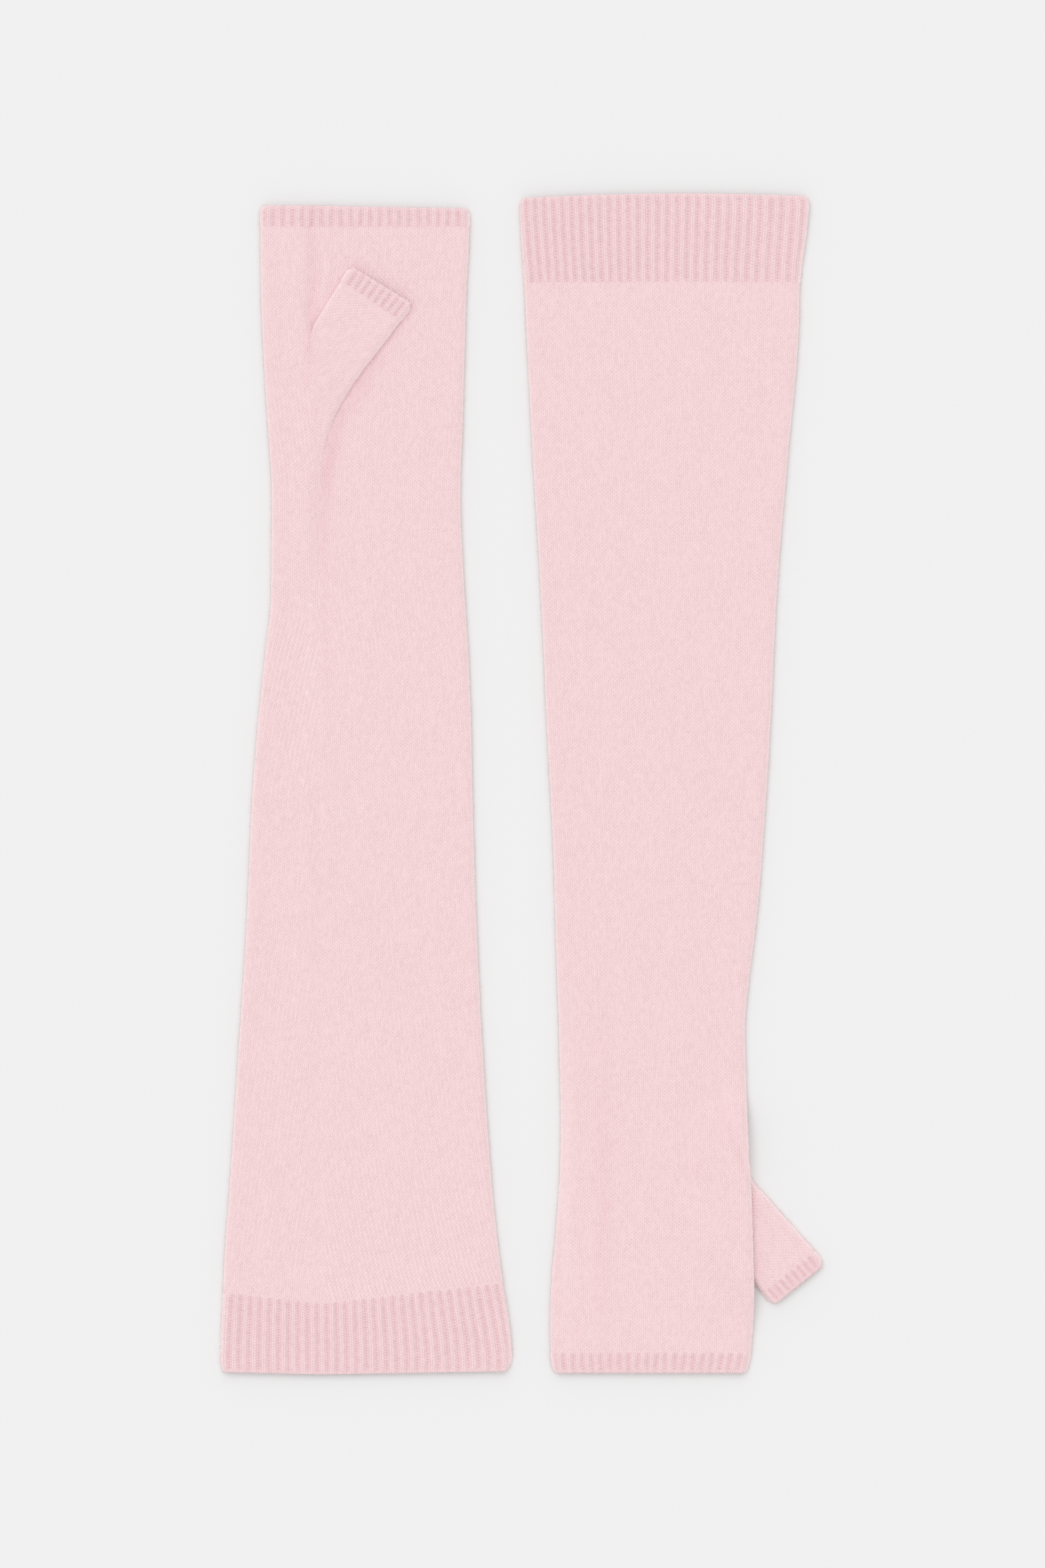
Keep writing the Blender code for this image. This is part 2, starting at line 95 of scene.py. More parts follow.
RIGHT_ROWS = (
    Row(0.2, -59.9, 59.7, -10.0, 1.2, 0.8),
    Row(3.3, -60.3, 60.3, -10.0, 1.1, 0.8),
    Row(12.8, -59.4, 60.0, -8.0, 0.6, 0.4),
    Row(36.7, -56.5, 58.3, -4.0, 0.2, 0.2),
    Row(54.4, -56.1, 57.5, 0.0, -0.4, 0.6),
    Row(110.0, -51.4, 54.7, 0.0, -1.8, 2.2),
    Row(165.6, -46.9, 51.4, 0.0, -2.6, 3.0),
    Row(221.1, -44.2, 48.9, 0.0, -2.6, 3.0),
    Row(276.7, -40.6, 46.1, 0.0, -2.6, 3.0),
    Row(304.4, -38.1, 45.3, 0.0, -2.4, 2.8),
    Row(332.2, -34.7, 44.4, 0.0, -2.0, 2.2),
    Row(346.1, -33.6, 43.9, 0.0, -1.6, 1.6),
    Row(360.0, -33.9, 43.6, 0.0, -1.2, 1.0),
    Row(387.8, -34.7, 43.1, 0.0, -0.4, 0.2),
    Row(401.7, -35.3, 43.3, 0.0, 0.0, 0.0),
    Row(415.6, -36.3, 44.0, 0.0, 0.0, 0.0),
    Row(429.4, -36.7, 45.0, 0.0, 0.0, 0.0),
    Row(457.2, -37.4, 47.2, 0.0, 0.0, 0.0),
    Row(471.1, -36.9, 47.5, 0.0, 0.0, 0.0),
    Row(481.7, -36.1, 47.2, 0.0, 0.0, 0.0),
    Row(487.8, -35.0, 46.7, 0.0, 0.0, 0.0),
    Row(490.6, -34.4, 45.9, 0.0, 0.0, 0.0),
)

LEFT_ARM_RIB_ENDS = 34.4
LEFT_HAND_RIB_STARTS = 477.5
RIGHT_ARM_RIB_ENDS = 36.7
RIGHT_HAND_RIB_STARTS = 481.7

# %% [markdown]
# A table gives a few courses only. A cubic curve through each of its columns gives the rest. Its
# slope at each stop is kept between the slopes on both sides, so that it never overshoots.

# %% Curves through a table
CURVE_STEP = 0.5


def smooth_curve(stops, values):
    """A smooth curve through a table's column, as closely spaced stops and values."""
    stops, values = np.array(stops, float), np.array(values, float)
    rises = np.diff(values) / np.diff(stops)
    before, after = rises[:-1], rises[1:]
    same = before * after > 0
    middle = np.where(same, 2 * before * after / np.where(same, before + after, 1), 0)
    slopes = np.concatenate([rises[:1], middle, rises[-1:]])
    fine = np.linspace(stops[0], stops[-1], int((stops[-1] - stops[0]) / CURVE_STEP) + 2)
    i = np.clip(np.searchsorted(stops, fine, side="right") - 1, 0, len(stops) - 2)
    gap = stops[i + 1] - stops[i]
    t = (fine - stops[i]) / gap
    start, end = values[i], values[i + 1]
    bend = (t - 1) * t * gap * ((t - 1) * slopes[i] + t * slopes[i + 1])
    return fine, start + (end - start) * t * t * (3 - 2 * t) + bend


def read(curve, place):
    return np.interp(place, *curve)


def smooth(share):
    """A step from 0 to 1 that starts and ends gently."""
    share = np.clip(share, 0, 1)
    return share * share * (3 - 2 * share)


def table_curves(rows):
    """Every column of a table as a smooth curve over its first column."""
    first, *others = rows[0]._fields
    columns = dict(zip(rows[0]._fields, zip(*rows)))
    return {name: smooth_curve(columns[first], columns[name]) for name in others}


# %% [markdown]
# # A flattened tube
#
# Pressed flat, a knitted tube is two layers of cloth with a round fold on each side. The best way
# to say where a stitch lies is to roll the folds out flat: "spread" is its place across on that
# rolled-out cloth. A quarter of an ellipse bends the last few millimetres over and under.

# %% The folds
FLAT = 3.4
EDGE_LEVEL = 1.0
FOLD_REACH = 2.4
ANGLES = np.linspace(0, math.pi / 2, 200)


def ellipse_arc(reach, half):
    """How long the cloth is from a fold's edge up to each angle round it."""
    across, up = reach * np.cos(ANGLES), half * np.sin(ANGLES)
    return np.concatenate([[0], np.cumsum(np.hypot(np.diff(across), np.diff(up)))])


OVER_ARC = ellipse_arc(FOLD_REACH, FLAT - EDGE_LEVEL)
UNDER_ARC = ellipse_arc(FOLD_REACH, EDGE_LEVEL)
SPARE = OVER_ARC[-1] - FOLD_REACH


def round_fold(from_edge):
    """How far in and how high a point lies at a fold, and which way the cloth faces there."""
    away, over = np.abs(from_edge), from_edge >= 0
    angle = np.where(over, np.interp(away, OVER_ARC, ANGLES), np.interp(away, UNDER_ARC, ANGLES))
    arc = np.where(over, OVER_ARC[-1], UNDER_ARC[-1])
    inward = FOLD_REACH * (1 - np.cos(angle)) + np.maximum(away - arc, 0)
    height = np.where(over, FLAT - EDGE_LEVEL, -EDGE_LEVEL)
    out, up = np.cos(angle) / FOLD_REACH, np.sin(angle) / height
    size = np.hypot(out, up)
    return inward, EDGE_LEVEL + height * np.sin(angle), out / size, up / size


# %% [markdown]
# The left glove turns its courses sharply at the seam that joins the tube up the palm side. The
# right glove shows the side without a seam, so its courses bend softly. The seam itself, the
# folds' small roll and the few creases are soft heights over the upper face.

# %% Soft heights
SEAM_DEPTH = 0.25
SEAM_WIDTH = 1.4
ROLL_HEIGHT = 0.3
ROLL_IN = 5.0
ROLL_WIDTH = 3.2

# A soft trough or ridge: its middle, its size along and across, its turn and its height
Crease = namedtuple("Crease", "x along length width turn height")
LEFT_CREASES = (
    Crease(24.0, 300.0, 60.0, 9.0, 8.0, -0.22),
    Crease(-34.0, 215.0, 80.0, 8.0, -6.0, -0.20),
    Crease(14.0, 120.0, 70.0, 12.0, 5.0, 0.22),
    Crease(-2.0, 398.0, 26.0, 7.0, -62.0, 0.25),
    Crease(-21.8, 452.0, 46.0, 2.8, 0.0, -1.2),
    Crease(-27.5, 455.0, 40.0, 3.2, 0.0, 0.5),
    Crease(-16.5, 462.0, 30.0, 3.2, 0.0, 0.4),
    Crease(-25.0, 370.0, 60.0, 6.0, -3.0, 0.9),
    Crease(-15.8, 370.0, 40.0, 3.6, -4.0, -0.7),
    Crease(-17.0, 318.0, 130.0, 2.6, 1.0, -0.35),
    Crease(-20.5, 190.0, 130.0, 3.0, 0.5, -0.3),
    Crease(30.0, 440.0, 34.0, 8.0, 12.0, -0.18),
)
RIGHT_CREASES = (
    Crease(31.0, 395.0, 90.0, 6.0, -3.0, -0.35),
    Crease(22.0, 330.0, 70.0, 8.0, -4.0, 0.20),
    Crease(-20.0, 180.0, 90.0, 11.0, -4.0, -0.20),
    Crease(12.0, 90.0, 60.0, 12.0, 4.0, 0.18),
    Crease(-22.0, 360.0, 40.0, 6.0, 14.0, -0.22),
    Crease(-30.5, 399.0, 26.0, 1.5, 22.0, -0.4),
    Crease(-33.5, 397.5, 26.0, 2.5, 22.0, 0.3),
)

# The same for colour. Below 0 is painted shade: in the creases, along the seam and on the palm
# beside the left thumb's fold. Above 0 is painted light on a few paler strips. Beside the seam, a
# row of small pale marks shows where the left glove was narrowed
MARK = (1.3, 0.6, 0.0, 0.3)
FASHIONING_MARKS = [(-23.1 - 0.79 * i, 320.6 - 18.3 * i) for i in range(10)]
SPECKS = [(-14.7, 329.0), (-15.3, 313.0), (-18.3, 236.0)]
LEFT_PAINTED_LIGHT_AND_MARKS = (
    Crease(-21.9, 462.0, 44.0, 2.3, 0.0, -0.42),
    Crease(-3.0, 409.0, 26.0, 4.0, -33.0, -0.40),
    Crease(-13.9, 386.0, 26.0, 3.4, -14.0, -0.60),
    Crease(-16.4, 366.0, 34.0, 3.0, -3.0, -0.38),
    Crease(-17.0, 312.0, 80.0, 3.0, 2.0, -0.12),
    Crease(-20.3, 215.0, 90.0, 2.0, 1.0, -0.12),
    Crease(-21.8, 290.0, 60.0, 4.0, 2.0, 0.08),
    *(Crease(x, y, *MARK) for x, y in FASHIONING_MARKS + SPECKS),
)
# Painted shade in the right glove's creases, and painted light on a strip beside one
RIGHT_PAINTED_LIGHT = (
    Crease(25.0, 410.0, 90.0, 3.5, 0.0, -0.28),
    Crease(41.0, 410.0, 90.0, 3.0, 0.0, 0.15),
    Crease(-30.5, 399.0, 24.0, 1.2, 22.0, -0.3),
)


def soft_height(creases, x, y):
    """The sum of soft troughs and ridges at a place, whether it stands for height or for painted
    light and shade.
    """
    height = 0.0 * x
    for crease in creases:
        turn = math.radians(crease.turn)
        dx, dy = x - crease.x, y - crease.along
        across = (dx * math.cos(turn) + dy * math.sin(turn)) / crease.width
        lengthwise = (dy * math.cos(turn) - dx * math.sin(turn)) / crease.length
        height = height + crease.height * np.exp(-(across**2) - lengthwise**2 * 2)
    return height


# %% The right hand, lifted by the thumb under it
THUMB_CLEAR = 1.6
HAND_RAMP = 15.0
HAND_LIFT = 3.6


def outline_distance(x, y, outline):
    """How far points lie outside a closed outline, and 0 inside it."""
    nearest = np.full(np.shape(x), np.inf)
    inside = np.zeros(np.shape(x), bool)
    for (ax, ay), (bx, by) in zip(outline, outline[1:] + outline[:1]):
        length = math.hypot(bx - ax, by - ay)
        share = np.clip(((x - ax) * (bx - ax) + (y - ay) * (by - ay)) / length**2, 0, 1)
        apart = np.hypot(x - ax - share * (bx - ax), y - ay - share * (by - ay))
        nearest = np.minimum(nearest, apart)
        rise = by - ay if by != ay else 1.0
        inside ^= ((ay > y) != (by > y)) & (x < ax + (y - ay) / rise * (bx - ax))
    return np.where(inside, 0.0, nearest)


# %% What every tube has
CORNER_FADES = 6.0


def rounding(radius, from_edge):
    """How far a rounded corner stands back at some distance from the edge."""
    away = radius - np.clip(from_edge, 0, radius)
    return radius - np.sqrt(radius**2 - away**2)


class Tube:
    """The spans of a tube's rolled-out cloth. A glove and a thumb each say where their edges are,
    and how far the upper face is knitted on beneath them."""

    def read(self, along, *names):
        return [read(self.curves[name], along) for name in names]

    def turn(self, along, spread, beneath=False):
        """How far round the tube a point is, from 0 under the left fold to 1 back there."""
        left, right = self.edges(along)
        place = 2 * (right - left) - (spread - left) if beneath else spread - left
        return (place + self.under(along)) / (2 * (right - left))

    def under_span(self, along):
        left, right = self.edges(along)
        return left + self.under(along), right - self.under(along)

    def top_span(self, along):
        left, right = self.edges(along)
        return left - self.under(along), right + self.under(along)

    # Painted shade, painted light and the cloth's own pale marks at a place
    def tone(self, x, y):
        return soft_height(self.painted_lights_and_marks, x, y)


# %% A point on a glove
WALL = 1.5
SLIT = 0.4
INNER_INSET = 1.6
UNDER_FOLD = 3.9
ARM_CORNER = 2.1
HAND_CORNER = 1.2


class Glove(Tube):
    """One glove's courses, and where a point of its rolled-out cloth lies."""

    def __init__(self, rows, creases, painted_lights_and_marks, has_seam, beneath=()):
        self.curves = table_curves(rows)
        self.rims = (rows[0].along, rows[-1].along)
        self.creases = creases
        self.painted_lights_and_marks = painted_lights_and_marks
        self.has_seam = has_seam
        self.beneath = beneath

    def folds(self, along):
        """Where a course leaves both folds, and how far it climbs from one to the other."""
        climb, left = self.read(along, "climb", "left")
        return left, read(self.curves["right"], along + climb), climb

    def edges(self, along):
        """Both folds' edges on the rolled-out cloth."""
        left, right, _ = self.folds(along)
        return left - SPARE, right + SPARE

    def under(self, along):
        return UNDER_FOLD

    def course(self, along, x):
        """How far along a course lies at x in the upper face."""
        left, right, climb = self.folds(along)
        turn, dip = self.read(along, "turn", "dip")
        if self.has_seam:
            falling = np.clip((x - left) / (turn - left), 0, 1)
            climbing = np.clip((x - turn) / (right - turn), 0, 1)
            return along - dip * falling + (dip + climb) * climbing
        first = -dip * (x - left) * (x - right) / ((turn - left) * (turn - right))
        return along + first + climb * (x - left) * (x - turn) / ((right - left) * (right - turn))

    def corner(self, along, x, left, right):
        """How far a rim's rounded corner stands back, fading out away from the rim."""
        back = 0.0
        for rim, sign, radius in zip(self.rims, (1, -1), (ARM_CORNER, HAND_CORNER)):
            corner = rounding(radius, np.minimum(x - left, right - x))
            back = back + sign * corner * smooth(1 - np.abs(along - rim) / CORNER_FADES)
        return back

    def height(self, x, y, from_edge):
        """The soft heights over the upper face: the seam, the folds' roll and the creases."""
        height = soft_height(self.creases, x, y)
        height = height + ROLL_HEIGHT * np.exp(-(((from_edge - ROLL_IN) / ROLL_WIDTH) ** 2))
        if self.has_seam:
            apart = np.abs(x - read(self.curves["turn"], y))
            height = height - SEAM_DEPTH * np.exp(-apart / SEAM_WIDTH)
        return height

    def lift(self, x, y):
        """How far the glove is held up by the thumb beneath it."""
        if not self.beneath:
            return 0.0
        apart = outline_distance(x, y, self.beneath) - THUMB_CLEAR
        return HAND_LIFT * smooth(1 - apart / HAND_RAMP)

    def place(self, along, spread, beneath=False):
        """Points and directions of rolled-out cloth. Past a fold's edge it carries on beneath."""
        left, right, climb = self.folds(along)
        from_left, from_right = spread - left + SPARE, right + SPARE - spread
        near_left = from_left < from_right
        from_edge = np.minimum(from_left, from_right)
        if beneath:
            from_edge = -np.maximum(from_edge, 0)
        inward, level, out, up = round_fold(from_edge)
        x = np.where(near_left, left + inward, right - inward)
        over = from_edge >= 0
        y = np.where(over, self.course(along, x), along + climb * (x - left) / (right - left))
        y = y + self.corner(along, x, left, right)
        fade = np.clip((level - EDGE_LEVEL) / (FLAT - EDGE_LEVEL), 0, 1)
        z = level + self.lift(x, y) + fade * self.height(x, y, from_edge)
        facing = np.stack([np.where(near_left, -out, out), np.zeros_like(out), up], -1)
        return np.stack([x, y, z], -1), facing

    def inside(self, along, share, over):
        """The plain inside of the tube, on either side of the slit between its layers."""
        left, right, climb = self.folds(along)
        x = left + INNER_INSET + share * (right - left - 2 * INNER_INSET)
        y = self.course(along, x) if over else along + climb * (x - left) / (right - left)
        y = y + self.corner(along, x, left, right)
        at_end = (share <= 0) | (share >= 1)
        level = np.where(at_end, WALL + SLIT / 2, WALL + SLIT if over else WALL)
        return np.stack([x, y, np.broadcast_to(level, x.shape) + self.lift(x, y)], -1), x


# %% [markdown]
# # A thumb
#
# A thumb is a short tube that lies askew, so its table gives both of its edges at stations from
# its root to its rim. The left one grows out of the palm: its left edge starts level with the
# palm's cloth and rises until the thumb comes free of it. The sole is the level that the rest of
# the thumb's underside lies at.

# %% The thumbs' stations
# Both edges of a thumb, and the heights of its top, of its left edge and of that edge's underside
Station = namedtuple("Station", "left_x left_y right_x right_y top edge low")

LEFT_THUMB = (
    Station(-19.4, 382.0, -18.4, 380.0, 3.0, 2.9, 1.6),
    Station(-21.0, 393.0, -16.4, 388.9, 3.8, 2.9, 1.6),
    Station(-23.0, 401.5, -14.0, 396.5, 4.6, 2.9, 1.6),
    Station(-24.5, 410.5, -10.6, 403.6, 5.6, 2.9, 1.7),
    Station(-24.5, 419.5, -6.9, 409.9, 6.5, 2.9, 1.9),
    Station(-23.6, 428.5, -2.5, 416.3, 7.0, 3.2, 2.2),
    Station(-22.2, 435.6, 1.6, 421.8, 7.0, 4.6, 2.6),
    Station(-18.5, 442.2, 5.2, 426.4, 7.0, 7.0, 3.2),
    Station(-14.2, 449.4, 8.6, 430.8, 7.0, 7.0, 3.2),
    Station(-10.6, 455.0, 14.2, 438.3, 7.0, 7.0, 3.2),
    Station(-6.4, 461.9, 20.1, 445.6, 7.0, 7.0, 3.2),
)
LEFT_THUMB_SOLE = 3.2

RIGHT_THUMB = (
    Station(-28.6, 388.6, -25.6, 400.3, 2.4, 2.4, 0.0),
    Station(-31.4, 394.7, -25.8, 412.8, 3.2, 3.2, 0.0),
    Station(-33.9, 403.1, -26.1, 425.3, 3.3, 3.3, 0.0),
    Station(-37.6, 411.6, -26.4, 431.6, 3.3, 3.3, 0.0),
    Station(-41.4, 415.6, -26.7, 437.2, 3.3, 3.3, 0.0),
    Station(-48.1, 423.3, -31.4, 444.4, 3.3, 3.3, 0.0),
    Station(-55.3, 431.4, -35.8, 450.8, 3.3, 3.3, 0.0),
    Station(-62.4, 439.4, -40.6, 457.0, 3.3, 3.3, 0.0),
    Station(-67.0, 445.3, -45.6, 462.6, 3.3, 3.3, 0.0),
)
RIGHT_THUMB_SOLE = 0.0

# %% A point on a thumb
THUMB_REACH = 2.4
THUMB_REACH_SHARE = 0.42
ARC_TO_REACH = 1.5
UNDER_TO_REACH = 1.5
EDGE_SHARE = 0.12
SWELL = 10.0
SWELL_SHARE = 0.8
ROOT_LENGTH = 36.0
ROOT_REACH = 1.9
THUMB_CORNER = 2.6
SLIT_SHARE = 0.3


class Thumb(Tube):
    """A thumb's stations, and where a point of its rolled-out cloth lies. beside is the place
    across it, as a share, that its wales run beside."""

    painted_lights_and_marks = ()

    def __init__(self, stations, sole, beside):
        self.beside = beside
        table = np.array(stations)
        middle = (table[:, :2] + table[:, 2:4]) / 2
        steps = np.hypot(*np.diff(middle, axis=0).T)
        self.stops = np.concatenate([[0], np.cumsum(steps)])
        columns = zip(Station._fields, table.T)
        self.curves = {name: smooth_curve(self.stops, column) for name, column in columns}
        self.sole = sole

    def softness(self, along):
        """1 at a root that grows out of the palm, where the fold is a gentle swell, and then 0."""
        return smooth(1 - along / ROOT_LENGTH) if self.sole else 0.0 * along

    def sides(self, along):
        """Both edges, the width between them, and how far in the folds reach."""
        left = np.stack(self.read(along, "left_x", "left_y"))
        right = np.stack(self.read(along, "right_x", "right_y"))
        width = np.hypot(*(right - left))
        reach = THUMB_REACH + ROOT_REACH * self.softness(along)
        return left, right, width, np.minimum(reach, THUMB_REACH_SHARE * width)

    def edges(self, along):
        _, _, width, reach = self.sides(along)
        spare = (ARC_TO_REACH - 1) * reach
        return -self.beside * width - spare, (1 - self.beside) * width + spare

    def under(self, along):
        return UNDER_TO_REACH * self.sides(along)[3]

    def levels(self, along, across, width):
        """The heights of the upper and the lower face, by how far in from the left edge."""
        swell = np.minimum(SWELL, SWELL_SHARE * width)
        top, edge, low = self.read(along, "top", "edge", "low")
        climb = np.sin(math.pi / 2 * np.clip(across / swell, 0, 1))
        return edge + (top - edge) * climb, low + (self.sole - low) * climb

    def place(self, along, spread, beneath=False):
        left, right, width, reach = self.sides(along)
        low_edge, high_edge = self.edges(along)
        from_left, from_right = spread - low_edge, high_edge - spread
        near_left = from_left < from_right
        from_edge = np.minimum(from_left, from_right)
        if beneath:
            from_edge = -np.maximum(from_edge, 0)
        away, arc = np.abs(from_edge), ARC_TO_REACH * reach
        angle = math.pi / 2 * np.clip(away / arc, 0, 1)
        inward = reach * (1 - np.cos(angle)) + np.maximum(away - arc, 0)
        across = np.where(near_left, inward, width - inward)
        top, low = self.levels(along, across, width)
        middle = low + EDGE_SHARE * (top - low)
        half = np.where(from_edge < 0, low - middle, top - middle)
        z = middle + half * np.sin(angle) ** (1 + self.softness(along))
        from_rim = self.stops[-1] - along
        back = rounding(THUMB_CORNER, inward) * smooth(1 - from_rim / CORNER_FADES)
        share = across / width
        left, right, width, _ = self.sides(along - back)
        line = (right - left) / width
        across = share * width
        x, y = left[0] + across * line[0], left[1] + across * line[1]
        out, up = np.cos(angle) / reach, np.sin(angle) / half
        out, up = out / np.hypot(out, up), up / np.hypot(out, up)
        out = np.where(near_left, -out, out)
        facing = np.stack([out * line[0], out * line[1], up], -1)
        return np.stack([x, y, z], -1), facing

    def inside(self, along, share, over):
        left, right, width, reach = self.sides(along)
        inset = np.minimum(INNER_INSET, INNER_INSET / THUMB_REACH * reach)
        across = inset + share * (width - 2 * inset)
        top, low = self.levels(along, across, width)
        at_end = (share <= 0) | (share >= 1)
        slit = np.minimum(SLIT, SLIT_SHARE * (top - low)) / 2
        level = (top + low) / 2 + np.where(at_end, 0.0, slit if over else -slit)
        line = (right - left) / width
        x, y = left[0] + across * line[0], left[1] + across * line[1]
        return np.stack([x, y, level], -1), across


# %% [markdown]
# # Gathering a piece
#
# Cloth gathers the points and triangles of a piece. Each triangle knows which fine row it belongs
# to, so that a long tube can be knitted whole and then shared out between two objects. Each of
# its corners also counts wales and courses, which the yarn's pattern follows.

# %% Cloth
OUTSIDE, INSIDE, END = 0, 1, 2

# What each point keeps after its x, y and z
TURN, ALONG, INNER, RIBBED, PAINTED_LIGHT_AND_MARKS_COLUMN = 3, 4, 5, 6, 7


class Cloth:
    """The points and triangles of a piece while it is being made."""

    def __init__(self):
        self.points, self.faces = [], []
        self.count = 0

    def add_points(self, points, turn, along, inner=False, ribbed=0.0, tone=0.0):
        """Keeps points in millimetres, with where each is on the tube and how it looks."""
        shape = points.shape[:-1]
        places = (turn, along, float(inner), ribbed, tone)
        places = [np.broadcast_to(place, shape).ravel() for place in places]
        self.points.append(np.column_stack([points.reshape(-1, 3), *places]))
        first, self.count = self.count, self.count + len(self.points[-1])
        return np.arange(first, self.count).reshape(shape)

    def add_faces(self, faces, stitches, row, layer):
        """Keeps triangles, but not those with no width."""
        kept = (faces[:, 0] != faces[:, 1]) & (faces[:, 1] != faces[:, 2])
        kept &= faces[:, 0] != faces[:, 2]
        row = np.broadcast_to(row, len(faces))[kept]
        self.faces.append((faces[kept], stitches[kept], row, np.full(len(row), layer)))

    def add_grid(self, ids, stitches, rows, layer, flip=False, swap=False):
        """Two triangles for each cell of a grid of points. swap turns a cell's diagonal."""
        cells = (ids.shape[0] - 1, ids.shape[1] - 1)
        corners = [(slice(None, -1),) * 2, (slice(None, -1), slice(1, None))]
        corners += [(slice(1, None),) * 2, (slice(1, None), slice(None, -1))]
        points = np.stack([ids[c] for c in corners], -1).reshape(-1, 4)
        maps = np.stack([stitches[c] for c in corners], -2).reshape(-1, 4, 2)
        swapped = np.broadcast_to(swap, cells).ravel()
        row = np.repeat(np.asarray(rows)[: cells[0]], cells[1])
        plain, other = ((0, 1, 2), (0, 2, 3)), ((0, 1, 3), (1, 2, 3))
        for chosen, halves in ((~swapped, plain), (swapped, other)):
            for half in halves:
                order = list(half[::-1] if flip else half)
                faces, counts = points[chosen][:, order], maps[chosen][:, order]
                self.add_faces(faces, counts, row[chosen], layer)

    def add_zip(self, first, second, row, layer, flip=False):
        """Joins two lines of points that run the same way. Each is ids, places and stitches."""
        faces, i, j = [], 0, 0
        size = len(first[0])
        while i < size - 1 or j < len(second[0]) - 1:
            next_first = first[1][i + 1] if i + 1 < size else math.inf
            next_second = second[1][j + 1] if j + 1 < len(second[0]) else math.inf
            if next_first <= next_second:
                faces.append((i, i + 1, j + size, min(i, size - 2)))
                i += 1
            else:
                faces.append((i, j + 1 + size, j + size, max(i - 1, 0)))
                j += 1
        faces = np.array(faces)
        ids = np.concatenate([first[0], second[0]])
        maps = np.concatenate([first[2], second[2]])
        corner = faces[:, [2, 1, 0]] if flip else faces[:, :3]
        self.add_faces(ids[corner], maps[corner], faces[:, 3] if row is None else row, layer)

    def add_fan(self, ring, row, layer, flip=False):
        """Closes a small ring of points from its first one."""
        ids, maps = ring[0], ring[2]
        corner = np.array([(0, i, i + 1) for i in range(1, len(ids) - 1)])
        corner = corner[:, ::-1] if flip else corner
        self.add_faces(ids[corner], maps[corner], row, layer)

    def gathered(self):
        faces, stitches, row, layer = (np.concatenate(part) for part in zip(*self.faces))
        return np.concatenate(self.points), faces, stitches, row, layer


# %% [markdown]
# # The stitches
#
# Stocking stitch shows a column of Vs: two legs lean in to the middle of each wale, and every
# course's V sits in the one before. In the rib, a raised knit wale with such Vs takes turns with a
# sunk purl wale of small bumps. These heights go into the mesh itself, so that they show from
# every side, and the finer yarn is left to the material.

# %% The size and height of a stitch
WALE = 1.764
SLANT = 0.72
LEG_HEIGHT = 0.07
COURSE_HEIGHT = 0.06
RIB_LEG_SHARE = 0.6
RIB_HIGH = 0.3
RIB_DEEP = -0.6
PURL_HEIGHT = 0.05
KNIT_SHARE = 0.42
UNEVEN = 0.05
SEED = 7
DRAWS = (257, 263)


def triangle_wave(wale):
    """0 between two wales, and 1 in the middle of a wale."""
    return 1 - np.abs(2 * (wale - np.floor(wale)) - 1)


def uneven(wale, course, key):
    """A small chance value for each stitch, the same every time."""
    draws = np.random.default_rng(SEED + key).normal(size=DRAWS)
    return draws[np.floor(wale).astype(int) % DRAWS[0], np.round(course).astype(int) % DRAWS[1]]


def plain_stitch(wale, course):
    """The height of stocking stitch in millimetres, and how far its course leans there."""
    legs = LEG_HEIGHT * np.sin(2 * math.pi * wale) ** 2
    height = legs + COURSE_HEIGHT * np.cos(2 * math.pi * course)
    return height + UNEVEN * uneven(wale, course, 0), SLANT * (triangle_wave(wale) - 0.5)


def rib_stitch(wale, course):
    """The same for a rib: odd wales are raised knit, and even ones sunk purl."""
    knit = 0.5 + 0.5 * np.cos(math.pi * (wale - 1.5))
    height = RIB_DEEP + (RIB_HIGH - RIB_DEEP) * knit**KNIT_SHARE
    height = height + LEG_HEIGHT * RIB_LEG_SHARE * knit * np.sin(2 * math.pi * wale) ** 2
    wave = np.cos(2 * math.pi * course)
    height = height + (COURSE_HEIGHT * knit - PURL_HEIGHT * (1 - knit)) * wave
    return height + UNEVEN * uneven(wale, course, 1), SLANT * knit * (triangle_wave(wale) - 0.5)


# %% [markdown]
# # Knitting a tube
#
# A tube starts as a fine grid over its upper face and round both folds, with a column for each
# part of a wale. Where a glove narrows, wales run out at the seam or under a fold, so the columns
# are clamped there and share one point. The lower face, which rests flat, is a coarser sheet, and
# so is the inside. An end is closed by walking round both of its rings at once, always taking the
# nearer next point.

# %% The upper face
FADE_WALES = 1.2
# Painted light: the more a fold's cloth faces sideways, the paler it is made
FOLD_PAINTED_LIGHT = 0.8
MOST_WALES = 84
Panel = namedtuple("Panel", "spread_at low high")
Rows = namedtuple("Rows", "along course drop rise lean")


def held_columns(panel, along, per_wale):
    """Each row's first and last column, and every column's wale and place, held at the sides.
    spread_at(along, wale) says how a panel's wales run between its low and high sides."""
    every = np.arange(len(along))
    wale = np.arange(-MOST_WALES * per_wale, MOST_WALES * per_wale + 1) / per_wale
    spread = panel.spread_at(along[:, None], wale[None, :])
    start = (spread <= panel.low[:, None]).sum(1) - 1
    end = (spread < panel.high[:, None]).sum(1)
    columns = slice(start.min(), end.max() + 1)
    start, end = start - columns.start, end - columns.start
    wale, spread = wale[columns], spread[:, columns]
    step = spread[every, start + 1] - spread[every, start]
    low_wale = wale[start] + (panel.low - spread[every, start]) / step / per_wale
    step = spread[every, end] - spread[every, end - 1]
    high_wale = wale[end] + (panel.high - spread[every, end]) / step / per_wale
    held = np.clip(wale[None, :], low_wale[:, None], high_wale[:, None])
    spread = np.clip(spread, panel.low[:, None], panel.high[:, None])
    return start, end, wale, held, spread


